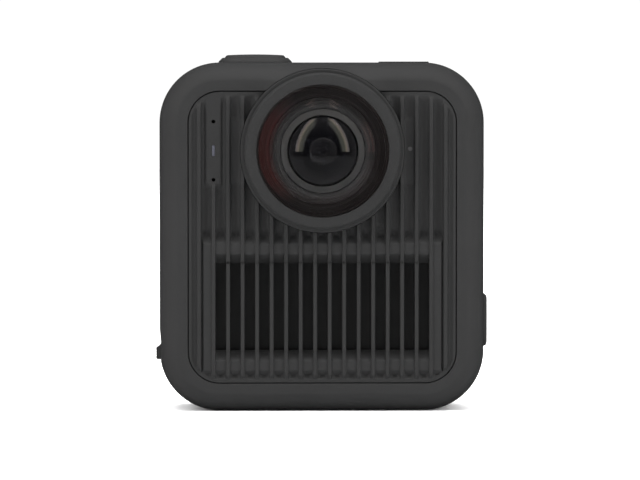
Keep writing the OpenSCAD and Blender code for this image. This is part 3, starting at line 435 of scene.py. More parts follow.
class Value:
    """A number socket of a node tree, for use in Python arithmetic."""

    def __init__(self, graph: "Graph", socket: bpy.types.NodeSocket) -> None:
        """Keeps the socket and the graph that it belongs to."""
        self.graph = graph
        self.socket = socket

    def _math(self, operation: str, *others: "Value | float", first: bool = True) -> "Value":
        """Adds a Math node.

        Args:
            operation: Name of the operation.
            others: The other numbers.
            first: Whether this value comes before the others.

        Returns:
            The node's result.
        """
        terms = [self, *others] if first else [*others, self]
        return self.graph.node("ShaderNodeMath", {"operation": operation}, dict(enumerate(terms)))

    def __add__(self, other: "Value | float") -> "Value":
        """Adds."""
        return self._math("ADD", other)

    __radd__ = __add__

    def __sub__(self, other: "Value | float") -> "Value":
        """Subtracts."""
        return self._math("SUBTRACT", other)

    def __rsub__(self, other: "Value | float") -> "Value":
        """Subtracts this from a number."""
        return self._math("SUBTRACT", other, first=False)

    def __mul__(self, other: "Value | float") -> "Value":
        """Multiplies."""
        return self._math("MULTIPLY", other)

    __rmul__ = __mul__

    def __truediv__(self, other: "Value | float") -> "Value":
        """Divides."""
        return self._math("DIVIDE", other)

    def __pow__(self, other: "Value | float") -> "Value":
        """Raises to a power."""
        return self._math("POWER", other)

    def __neg__(self) -> "Value":
        """Turns the sign round."""
        return self._math("MULTIPLY", -1.0)

    def __abs__(self) -> "Value":
        """Drops the sign."""
        return self._math("ABSOLUTE")

    def high(self, other: "Value | float") -> "Value":
        """Gives the larger of two numbers."""
        return self._math("MAXIMUM", other)

    def low(self, other: "Value | float") -> "Value":
        """Gives the smaller of two numbers."""
        return self._math("MINIMUM", other)

    def unit(self) -> "Value":
        """Holds the number between 0 and 1."""
        return self.high(0.0).low(1.0)

    def root(self) -> "Value":
        """Gives the square root, and 0 below 0."""
        return self.high(0.0)._math("SQRT")

    def wave(self) -> "Value":
        """Gives the sine."""
        return self._math("SINE")

    def whole(self) -> "Value":
        """Rounds to the nearest whole number."""
        return self._math("ROUND")

    def above(self, other: "Value | float") -> "Value":
        """Gives 1 where this is the larger, and 0 elsewhere."""
        return self._math("GREATER_THAN", other)


class Graph:
    """Adds nodes to a tree, for materials and for Geometry Nodes alike."""

    def __init__(self, tree: bpy.types.NodeTree) -> None:
        """Keeps the tree."""
        self.tree = tree

    def node(self, kind: str, settings: dict | None = None, inputs: dict | None = None,
             output: int | str = 0) -> Value:
        """Adds a node.

        Args:
            kind: Type of the node.
            settings: Its properties. "stops" fills a colour ramp.
            inputs: Values or links of its sockets, by name or number.
            output: Name or number of the socket that is returned.

        Returns:
            The chosen output.
        """
        node = self.tree.nodes.new(kind)
        for key, value in (settings or {}).items():
            if key == "stops":
                ramp = node.color_ramp
                while len(ramp.elements) < len(value):
                    ramp.elements.new(0.5)
                for element, (place, colour) in zip(ramp.elements, value):
                    element.position = place
                    element.color = (*colour, 1.0)
            else:
                setattr(node, key, value)
        for key, value in (inputs or {}).items():
            if isinstance(value, Value):
                self.tree.links.new(value.socket, node.inputs[key])
            elif value is not None:
                node.inputs[key].default_value = value
        return Value(self, node.outputs[output])

    def mix(self, share: Value, first: Value | Colour, second: Value | Colour) -> Value:
        """Mixes two colours.

        Args:
            share: Share of the second colour.
            first: First colour.
            second: Second colour.

        Returns:
            The mixed colour.
        """
        ends = [c if isinstance(c, Value) else (*c, 1.0) for c in (first, second)]
        return self.node("ShaderNodeMix", {"data_type": "RGBA"},
                         {"Factor": share, 6: ends[0], 7: ends[1]}, output=2)

    def axes(self, vector: Value) -> tuple[Value, Value, Value]:
        """Splits a vector into its three numbers."""
        first = self.node("ShaderNodeSeparateXYZ", None, {0: vector})
        sockets = first.socket.node.outputs
        return first, Value(self, sockets[1]), Value(self, sockets[2])


# ---- Finishes --------------------------------------------------------------------------


class Surface(Graph):
    """A material with one Principled shader, built up by the finishes."""

    def __init__(self, name: str) -> None:
        """Makes the material and its shader."""
        self.material = bpy.data.materials.new(name)
        self.material.use_nodes = True
        super().__init__(self.material.node_tree)
        self.shader = next(n for n in self.tree.nodes if n.type == "BSDF_PRINCIPLED")
        self.place = self.node("ShaderNodeTexCoord", output="Object")

    def set(self, **values: Value | float | Colour) -> None:
        """Sets the shader's sockets, whose names are given with underscores."""
        for key, value in values.items():
            socket = self.shader.inputs[key.replace("_", " ")]
            if isinstance(value, Value):
                self.tree.links.new(value.socket, socket)
            elif isinstance(value, tuple):
                socket.default_value = (*value, 1.0)
            else:
                socket.default_value = value

    def noise(self, size: float, detail: float = 3.0, rough: float = 0.5) -> Value:
        """Adds noise on the object's own coordinates.

        Args:
            size: Size of its grains in millimetres.
            detail: Number of finer layers.
            rough: Share of the finer layers.

        Returns:
            The noise, round 0.5.
        """
        return self.node("ShaderNodeTexNoise", None, {
            "Vector": self.place, "Scale": 1 / (size * MM), "Detail": detail, "Roughness": rough})

    def bump(self, height: Value, depth: float, strength: float = 1.0) -> None:
        """Feeds a height, whose full range is depth millimetres, to the shader's normal."""
        self.set(Normal=self.node("ShaderNodeBump", None, {
            "Height": height, "Distance": depth * MM, "Strength": strength}, output="Normal"))


@dataclass(frozen=True)
class MouldedPlastic:
    """Matte plastic with the fine eroded grain of its mould."""

    name: str
    colour: Colour
    roughness: float = 0.55
    grain: float = 0.22
    grain_depth: float = 0.016
    shine: float = 0.17
    speckle: float = 0.16

    def build(self) -> bpy.types.Material:
        """Builds the material.

        Returns:
            The material.
        """
        s = Surface(self.name)
        fine = s.noise(self.grain, 2.0, 0.6)
        cloud = s.noise(9.0, 2.0)
        spots = s.node("ShaderNodeTexVoronoi", {"feature": "F1"}, {
            "Vector": s.place, "Scale": 1 / (self.grain * 1.6 * MM)}, output="Distance")
        tone = (0.5 + (fine - 0.5) * self.speckle * 2.2 + (cloud - 0.5) * 0.35).unit()
        dark = tuple(c * 0.80 for c in self.colour)
        light = tuple(c * 1.20 for c in self.colour)
        s.set(Base_Color=s.mix(tone, dark, light),
              Roughness=(self.roughness + (cloud - 0.5) * 0.10 + (fine - 0.5) * 0.12).unit(),
              Specular_IOR_Level=self.shine)
        s.bump(fine * 0.65 + spots * 0.35, self.grain_depth)
        return s.material


@dataclass(frozen=True)
class TurnedMetal:
    """Metal or anodised metal with the fine lines of a lathe or a brush."""

    name: str
    colour: Colour
    roughness: float = 0.35
    metallic: float = 1.0
    line: float = 0.12
    depth: float = 0.004
    along: int = 2

    def build(self) -> bpy.types.Material:
        """Builds the material.

        Returns:
            The material.
        """
        s = Surface(self.name)
        stretch = [0.06, 0.06, 0.06]
        stretch[self.along] = 1.0
        long = s.node("ShaderNodeMapping", {"vector_type": "POINT"}, {
            "Vector": s.place, "Scale": tuple(stretch)})
        lines = s.node("ShaderNodeTexNoise", None, {
            "Vector": long, "Scale": 1 / (self.line * MM), "Detail": 3.0})
        cloud = s.noise(3.0, 2.0)
        tone = (0.5 + (lines - 0.5) * 0.5 + (cloud - 0.5) * 0.5).unit()
        s.set(Base_Color=s.mix(tone, tuple(c * 0.85 for c in self.colour),
                               tuple(min(c * 1.12, 1.0) for c in self.colour)),
              Metallic=self.metallic,
              Roughness=(self.roughness + (lines - 0.5) * 0.16).unit())
        s.bump(lines, self.depth)
        return s.material


@dataclass(frozen=True)
class LatheBlack:
    """Black lens plastic with light-trap rings round the lens axis."""

    name: str
    axis_height: float
    colour: Colour = (0.0078, 0.0076, 0.0078)
    pitch: float = 0.34
    depth: float = 0.03
    roughness: float = 0.5

    def build(self) -> bpy.types.Material:
        """Builds the material.

        Returns:
            The material.
        """
        s = Surface(self.name)
        x, _, z = s.axes(s.place)
        up = z - self.axis_height * MM
        radius = (x * x + up * up).root()
        rings = (radius * (2 * math.pi / (self.pitch * MM))).wave() * 0.5 + 0.5
        dust = s.noise(0.5, 3.0)
        s.set(Base_Color=s.mix((rings * 0.5 + dust * 0.5).unit(), self.colour,
                               tuple(c * 2.1 for c in self.colour)),
              Roughness=(self.roughness + (dust - 0.5) * 0.2).unit(),
              Specular_IOR_Level=0.22)
        s.bump(rings, self.depth)
        return s.material


@dataclass(frozen=True)
class CoatedGlass:
    """Thin glass with an anti-reflection coat: clear in the middle, tinted at the rim."""

    name: str
    middle: Colour
    rim: Colour
    most: float
    start: float = 0.19
    spread: float = 0.12
    roughness: float = 0.03

    def build(self) -> bpy.types.Material:
        """Builds the material.

        Returns:
            The material.
        """
        s = Surface(self.name)
        facing = s.node("ShaderNodeLayerWeight", None, {"Blend": 0.5}, output="Facing")
        drift = s.noise(7.0, 1.0)
        tint = (facing * 3.0 - 0.25 + (drift - 0.5) * 0.3).unit()
        s.set(Base_Color=s.mix(tint, self.middle, self.rim),
              Metallic=1.0,
              Roughness=(self.roughness + (s.noise(2.0, 2.0) - 0.5) * 0.01).unit(),
              Alpha=((facing - self.start) / self.spread).unit() * self.most)
        return s.material


@dataclass(frozen=True)
class DarkElement:
    """Coated dark lens with the rings of its iris painted deep in the middle."""

    name: str
    axis_height: float
    colour: Colour = (0.0012, 0.0012, 0.0016)
    ring: Colour = (0.0110, 0.0106, 0.0108)
    rings: tuple[Pair, ...] = ((2.45, 0.24), (2.0, 0.14), (1.45, 0.12), (0.8, 0.14))
    sheen: float = 0.5

    def build(self) -> bpy.types.Material:
        """Builds the material.

        Returns:
            The material.
        """
        s = Surface(self.name)
        x, _, z = s.axes(s.place)
        up = z - self.axis_height * MM
        radius = (x * x + up * up).root() / MM
        paint = None
        for middle, width in self.rings:
            line = (1.0 - abs(radius - middle) / width).unit()
            paint = line if paint is None else paint.high(line)
        bowl = ((radius - 3.4) / 3.0).unit() * 0.35
        cloud = s.noise(2.5, 2.0)
        s.set(Base_Color=s.mix((paint + bowl).unit(), self.colour, self.ring),
              Roughness=(0.035 + cloud * 0.015).unit(), Specular_IOR_Level=self.sheen)
        return s.material


@dataclass(frozen=True)
class GlossyPanel:
    """Polished dark cover glass with a faint deeper window."""

    name: str
    colour: Colour
    window: Colour
    low: Pair
    high: Pair

    def build(self) -> bpy.types.Material:
        """Builds the material.

        Returns:
            The material.
        """
        s = Surface(self.name)
        x, _, z = s.axes(s.place)
        inside = (x / MM).above(self.low[0]) * (1.0 - (x / MM).above(self.high[0]))
        inside = inside * (z / MM).above(self.low[1]) * (1.0 - (z / MM).above(self.high[1]))
        smear = s.noise(6.0, 4.0, 0.6)
        s.set(Base_Color=s.mix(inside, self.colour, self.window),
              Roughness=(0.05 + smear * 0.06).unit(), Specular_IOR_Level=0.5)
        s.bump(smear, 0.0006)
        return s.material


@dataclass(frozen=True)
class SoftRubber:
    """Matte rubber with a dusty, faintly pitted skin."""

    name: str
    colour: Colour
    roughness: float = 0.75

    def build(self) -> bpy.types.Material:
        """Builds the material.

        Returns:
            The material.
        """
        s = Surface(self.name)
        pits = s.noise(0.12, 3.0, 0.6)
        cloud = s.noise(2.5, 2.0)
        s.set(Base_Color=s.mix((pits * 0.4 + cloud * 0.6).unit(), self.colour,
                               tuple(c * 1.7 for c in self.colour)),
              Roughness=(self.roughness + (pits - 0.5) * 0.2).unit(), Specular_IOR_Level=0.3)
        s.bump(pits, 0.02)
        return s.material


@dataclass(frozen=True)
class CircuitBoard:
    """Solder resist with copper tracks under it and bright pads."""

    name: str
    resist: Colour = (0.008, 0.045, 0.026)
    track: Colour = (0.02, 0.10, 0.055)
    pad: Colour = (0.62, 0.55, 0.36)

    def build(self) -> bpy.types.Material:
        """Builds the material.

        Returns:
            The material.
        """
        s = Surface(self.name)
        cells = {"Vector": s.place, "Scale": 1 / (2.2 * MM), "Randomness": 0.55}
        edge = s.node("ShaderNodeTexVoronoi", {"feature": "DISTANCE_TO_EDGE"}, cells, output="Distance")
        dots = s.node("ShaderNodeTexVoronoi", {"feature": "F1"}, cells, output="Distance")
        lines = 1.0 - (edge * 14.0).unit()
        pads = 1.0 - (dots * 9.0).unit().above(0.9)
        s.set(Base_Color=s.mix(pads, s.mix(lines, self.resist, self.track), self.pad),
              Metallic=pads * 0.9, Roughness=(0.42 - pads * 0.12).unit())
        s.bump(lines * 0.4 + pads * 0.6, 0.03)
        return s.material


@dataclass(frozen=True)
class Printed:
    """Thin film, wrap or ink with a faint weave or ribbing."""

    name: str
    colour: Colour
    other: Colour
    pitch: float = 0.8
    roughness: float = 0.5
    glow: float = 0.0

    def build(self) -> bpy.types.Material:
        """Builds the material.

        Returns:
            The material.
        """
        s = Surface(self.name)
        x, _, z = s.axes(s.place)
        ribs = ((x + z) * (2 * math.pi / (self.pitch * MM))).wave() * 0.5 + 0.5
        fine = s.noise(0.3, 2.0)
        s.set(Base_Color=s.mix((ribs * 0.6 + fine * 0.4).unit(), self.colour, self.other),
              Roughness=(self.roughness + (fine - 0.5) * 0.15).unit())
        if self.glow:
            s.set(Emission_Color=self.colour, Emission_Strength=self.glow)
        s.bump(fine, 0.006)
        return s.material


class Finishes:
    """All the camera's materials, each made once."""

    def __init__(self, lens_height: float, glass_low: Pair, glass_high: Pair) -> None:
        """Builds the materials.

        Args:
            lens_height: Height of the lens axis.
            glass_low: Lower corner of the screen's bright window, as x and z.
            glass_high: Upper corner of the screen's bright window.
        """
        self.shell = MouldedPlastic("shell_plastic", (0.0172, 0.0173, 0.0175)).build()
        self.panel = MouldedPlastic("panel_plastic", (0.0166, 0.0167, 0.0169), grain=0.2).build()
        self.ring = MouldedPlastic("lens_ring_plastic", (0.0160, 0.0161, 0.0163), grain=0.3,
                                   grain_depth=0.05, speckle=0.8).build()
        self.button = MouldedPlastic("button_plastic", (0.0178, 0.0179, 0.0181), 0.5, 0.18).build()
        self.finger = MouldedPlastic("finger_plastic", (0.010, 0.010, 0.0104), 0.45, 0.25).build()
        self.black = MouldedPlastic("black_plastic", (0.004, 0.004, 0.0042), 0.6, 0.3).build()
        self.trap = LatheBlack("light_trap", lens_height).build()
        self.retainer = MouldedPlastic("retainer_ring", (0.0180, 0.0176, 0.0176), 0.5, 0.16,
                                       shine=0.25).build()
        self.dome = CoatedGlass("dome_glass", (0.95, 0.86, 0.84), (0.95, 0.72, 0.70), 0.16).build()
        self.element = DarkElement("element_glass", lens_height).build()
        self.inner = DarkElement("inner_glass", lens_height, (0.004, 0.005, 0.007)).build()
        self.rubber = SoftRubber("seal_rubber", (0.010, 0.010, 0.011)).build()
        self.spreader = TurnedMetal("black_anodised", (0.0205, 0.0205, 0.0208), 0.55, 0.4).build()
        self.frame = TurnedMetal("grey_anodised", (0.060, 0.062, 0.065), 0.45, 0.85).build()
        self.steel = TurnedMetal("steel", (0.56, 0.56, 0.57), 0.3).build()
        self.brass = TurnedMetal("brass", (0.62, 0.45, 0.20), 0.3).build()
        self.screen = GlossyPanel("screen_glass", (0.004, 0.004, 0.0045), (0.007, 0.008, 0.010),
                                  glass_low, glass_high).build()
        self.display = Printed("display_film", (0.010, 0.012, 0.016), (0.014, 0.016, 0.020),
                               0.2, 0.3).build()
        self.board = CircuitBoard("circuit_board").build()
        self.flex = Printed("flex_film", (0.42, 0.19, 0.05), (0.52, 0.27, 0.09), 0.5).build()
        self.wrap = Printed("battery_wrap", (0.028, 0.030, 0.034), (0.040, 0.042, 0.047), 1.6).build()
        self.light = Printed("light_guide", (0.040, 0.041, 0.054), (0.048, 0.050, 0.064), 0.3, 0.35).build()
        self.ink = Printed("index_ink", (0.034, 0.034, 0.035), (0.042, 0.042, 0.043), 0.2, 0.6).build()
        self.pad = SoftRubber("thermal_pad", (0.24, 0.28, 0.32)).build()


# ---- Assembly --------------------------------------------------------------------------


def fit(piece: bpy.types.Object, body: str, slot: str, *nodes: str) -> bpy.types.Object:
    """Joins a finished piece to a body of the camera.

    Args:
        piece: The piece.
        body: Body that it rides on.
        slot: Name of a material slot; it is not used.
        nodes: CAD nodes that it stands for.

    Returns:
        The same piece.
    """
    if nodes:
        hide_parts(*nodes)
    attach(piece, body)
    LOG.info("%s rides on %s, %d faces", piece.name, body, len(piece.data.polygons))
    return piece


class Repeater:
    """Geometry Nodes that lay copies of a template along a line."""

    def __init__(self, name: str) -> None:
        """Builds the tree.

        Args:
            name: Name of the tree.
        """
        self.tree = bpy.data.node_groups.new(name, "GeometryNodeTree")
        face = self.tree.interface
        face.new_socket("Geometry", in_out="INPUT", socket_type="NodeSocketGeometry")
        self.sockets = {label: face.new_socket(label, in_out="INPUT", socket_type=kind)
                        for label, kind in (("Template", "NodeSocketObject"),
                                            ("Count", "NodeSocketInt"),
                                            ("First Place", "NodeSocketVector"),
                                            ("Step", "NodeSocketVector"),
                                            ("Finish", "NodeSocketMaterial"))}
        face.new_socket("Geometry", in_out="OUTPUT", socket_type="NodeSocketGeometry")
        g = Graph(self.tree)
        inputs = g.node("NodeGroupInput").socket.node
        given = {s.name: Value(g, s) for s in inputs.outputs if s.name}
        line = g.node("GeometryNodeMeshLine", {"mode": "OFFSET"}, {
            "Count": given["Count"], "Start Location": given["First Place"], "Offset": given["Step"]})
        shape = g.node("GeometryNodeObjectInfo", {"transform_space": "ORIGINAL"},
                       {"Object": given["Template"]}, output="Geometry")
        copies = g.node("GeometryNodeInstanceOnPoints", None, {"Points": line, "Instance": shape})
        real = g.node("GeometryNodeRealizeInstances", None, {0: copies})
        dressed = g.node("GeometryNodeSetMaterial", None, {0: real, "Material": given["Finish"]})
        end = self.tree.nodes.new("NodeGroupOutput")
        self.tree.links.new(dressed.socket, end.inputs[0])

    def lay(self, name: str, template: Shape, count: int, first: Sequence[float],
            step: Sequence[float], finish: bpy.types.Material) -> bpy.types.Object:
        """Makes one plain mesh of all the copies.

        Args:
            name: Name of the piece.
            template: Shape that is copied.
            count: Number of copies.
            first: Place of the first copy in millimetres.
            step: Way from one copy to the next in millimetres.
            finish: Material of the piece.

        Returns:
            The piece.
        """
        pattern = make_object("pattern", template, finish)
        holder = bpy.data.objects.new(name, bpy.data.meshes.new(name))
        bpy.context.scene.collection.objects.link(holder)
        spread = holder.modifiers.new("copies", "NODES")
        spread.node_group = self.tree
        values = {"Template": pattern, "Count": count, "First Place": [c * MM for c in first],
                  "Step": [c * MM for c in step], "Finish": finish}
        for label, value in values.items():
            spread[self.sockets[label].identifier] = value
        settle(holder, 32.0)
        bpy.data.objects.remove(pattern)
        return holder


@dataclass
class Housing:
    """Frame round the camera: rounded edges, ledges for the panels and all its openings."""

    finishes: Finishes
    corner: float = 11.7
    edge: float = 5.2
    edge_inset: float = 3.4
    wall: float = 1.8
    groove: float = 0.2
    lip: float = 0.14
    crease: float = 0.22
    crease_turn: float = 2.2
    ledge: float = 2.05
    ledge_depth: float = 1.6
    ledge_back: float = 1.6
    hollow_depth: float = 0.27
    hollow_reach: float = 4.1
    hollow_height: float = 11.6
    boss_gap: float = 0.1
    boss_seat: float = 2.6
    swell: float = 2.6
    swell_height: float = 0.55
    swell_fade: float = 1.2
    flare: float = 0.18
    loose_gap: float = 0.15
    close_gap: float = 0.1
    key_flange: float = 0.7
    cover_overlap: float = 0.8
    hinge_drop: float = 1.2
    sound_hole: float = 0.4
    sound_pitch: float = 1.6
    box: Box = field(init=False)
    lens_height: float = field(init=False)
    boss: float = field(init=False)
    recess: float = field(init=False)

    def __post_init__(self) -> None:
        """Takes the body's size, the lens axis and the panels' place from the frame."""
        self.box = Box.of("housing")
        mount = Box.of("front_lens_mount")
        self.lens_height = mount.middle[2]
        self.boss = mount.high[0] + self.boss_gap
        self.recess = self.box.high[0] - Box.of("front_panel").high[0] - self.groove

    @property
    def half_depth(self) -> float:
        """Half of the body's depth."""
        return self.box.size[1] / 2

    @property
    def panel_radius(self) -> float:
        """Corner radius of the panels."""
        return self.corner - self.recess - self.groove

    def half_section(self) -> list[Pair]:
        """Gives the front half of the rim's section, from the inner wall to the skin's middle.

        Returns:
            Pairs of inset and depth, with the front at negative depth.
        """
        front = -self.half_depth
        side = front + math.sqrt(self.edge ** 2 - (self.edge - self.edge_inset) ** 2)
        ledge = front + self.ledge_depth
        back = ledge + self.ledge_back
        inner = self.edge - self.wall
        start = math.degrees(math.asin((side - back) / inner)) if abs(side - back) < inner else 90.0
        wall = arc((self.edge, side), inner, 180, 180 + start, 4)
        reach = self.recess + self.ledge
        lips = [(self.recess, ledge), (self.recess, front + self.lip)]
        lips += arc((self.recess - self.lip, front + self.lip), self.lip, -22.92, -90, 3)
        crease = [(self.edge_inset + self.crease, front), (self.edge_inset + 0.08, front + 0.008)]
        top = math.degrees(math.acos((self.edge - self.edge_inset) / self.edge))
        skin = arc((self.edge, side), self.edge, 180 + top - self.crease_turn, 180, 17)
        return wall + [(reach, back), (reach, ledge)] + lips + crease + skin

    def section(self) -> list[Pair]:
        """Gives the whole section of the rim as a closed outline."""
        half = self.half_section()
        return half + [(u, -y) for u, y in reversed(half)]

    def swollen(self, points: np.ndarray) -> np.ndarray:
        """Raises the skin in a soft fillet where it meets the rings under the lenses.

        Args:
            points: The skin's points.

        Returns:
            The moved points.
        """
        x, y, z = points.T
        away = np.hypot(x, z - self.lens_height) - self.boss
        near = np.clip(1 - away / self.swell, 0, 1.25) ** 2
        depth = np.abs(y) - (self.half_depth - self.edge) + self.swell_fade
        skin = (depth > 0) & (z > self.lens_height)
        lift = np.where(skin, near * np.clip(depth / 2, 0, 1) * self.swell_height, 0.0)
        moved = points.copy()
        moved[:, 1] += np.sign(y) * lift
        return moved

    def sweep(self, section: Sequence[Pair], corner_steps: int = 24, side_steps: int = 36) -> Shape:
        """Carries a closed section round the body.

        Args:
            section: Pairs of inset and depth.
            corner_steps: Number of pieces in a corner.
            side_steps: Number of pieces in a side.

        Returns:
            The ring.
        """
        width, _, height = self.box.size
        outline = Outline(width, height, self.corner, corner_steps, side_steps)
        levels = [(u, -y) for u, y in section]
        return rise(outline, Facing.FRONT, (0.0, self.box.middle[2]), levels, closed=True)

    def hollow(self) -> Shape:
        """Gives the shallow hollow for a thumb across the left side, round the latch."""
        radius = (self.hollow_reach ** 2 + self.hollow_depth ** 2) / (2 * self.hollow_depth)
        centre = (self.box.low[0] + self.hollow_depth - radius, self.hollow_height)
        return rod(Facing.FRONT, centre, radius, -self.half_depth - 5, self.half_depth + 5, steps=480)

    def port(self, facing: Facing, node: str, radius: float, gap: float, flare: float = 0.0,
             depth: float = 4.0) -> Shape:
        """Gives the cutter of a rounded opening for a node.

        Args:
            facing: Side of the body that the opening is on.
            node: Name of the node.
            radius: Radius of its corners.
            gap: Room round the node, which is negative where the node covers the opening.
            flare: Width of its bevel at the skin.
            depth: Distance that it reaches in from the skin.

        Returns:
            A closed cutter.
        """
        box = Box.of(node)
        if facing in (Facing.LEFT, Facing.RIGHT):
            width, height, centre = box.size[1], box.size[2], (0.0, box.middle[2])
            skin = self.box.high[0]
        else:
            width, height, centre = box.size[0], box.size[1], (box.middle[0], 0.0)
            skin = self.box.high[2] if facing is Facing.TOP else 0.0
        levels = [(0, skin - depth), (0, skin + 1)]
        if flare:
            levels[1:] = [(0, skin - flare), (-flare - 1, skin + 1)]
        return rise(Outline(width + 2 * gap, height + 2 * gap, radius), facing, centre, levels)

    def openings(self) -> list[Shape]:
        """Gives the shapes of all the openings.

        Returns:
            Closed cutters.
        """
        wide, gap, close = self.box.high[0], self.loose_gap, self.close_gap
        door = Box.of("side_door")
        bosses = [rod(facing, (0.0, self.lens_height), self.boss, self.half_depth - self.boss_seat,
                      self.half_depth + 4, steps=160) for facing in (Facing.FRONT, Facing.REAR)]
        knuckle = block((-wide - 1, -door.high[1] - gap, door.high[2] - self.hinge_drop - 2),
                        (-wide + 3, door.high[1] + gap, door.high[2] + gap))
        speaker = [rod(Facing.RIGHT, (0.0, self.lens_height + self.sound_pitch * i), self.sound_hole,
                       wide - 4, wide + 1, steps=20) for i in range(-2, 3)]
        return [self.hollow(), *bosses,
                self.port(Facing.LEFT, "side_door", 1.6, gap, self.flare), knuckle,
                self.port(Facing.RIGHT, "mode_button", 1.65, gap - self.key_flange, self.flare),
                self.port(Facing.TOP, "shutter_button", 3.0, close),
                self.port(Facing.BOTTOM, "mount_tray", 1.5, close, close, depth=3.0),
                self.port(Facing.TOP, "top_mic_cover", 0.8, -self.cover_overlap), *speaker]

    def build(self) -> None:
        """Builds the housing."""
        shape = self.sweep(self.section())
        shape.points = self.swollen(shape.points)
        piece = make_object("housing_shell", shape, self.finishes.shell, 26.0)
        carve(piece, self.openings(), angle=26.0)
        fit(piece, BODY, "body_shell", "housing")


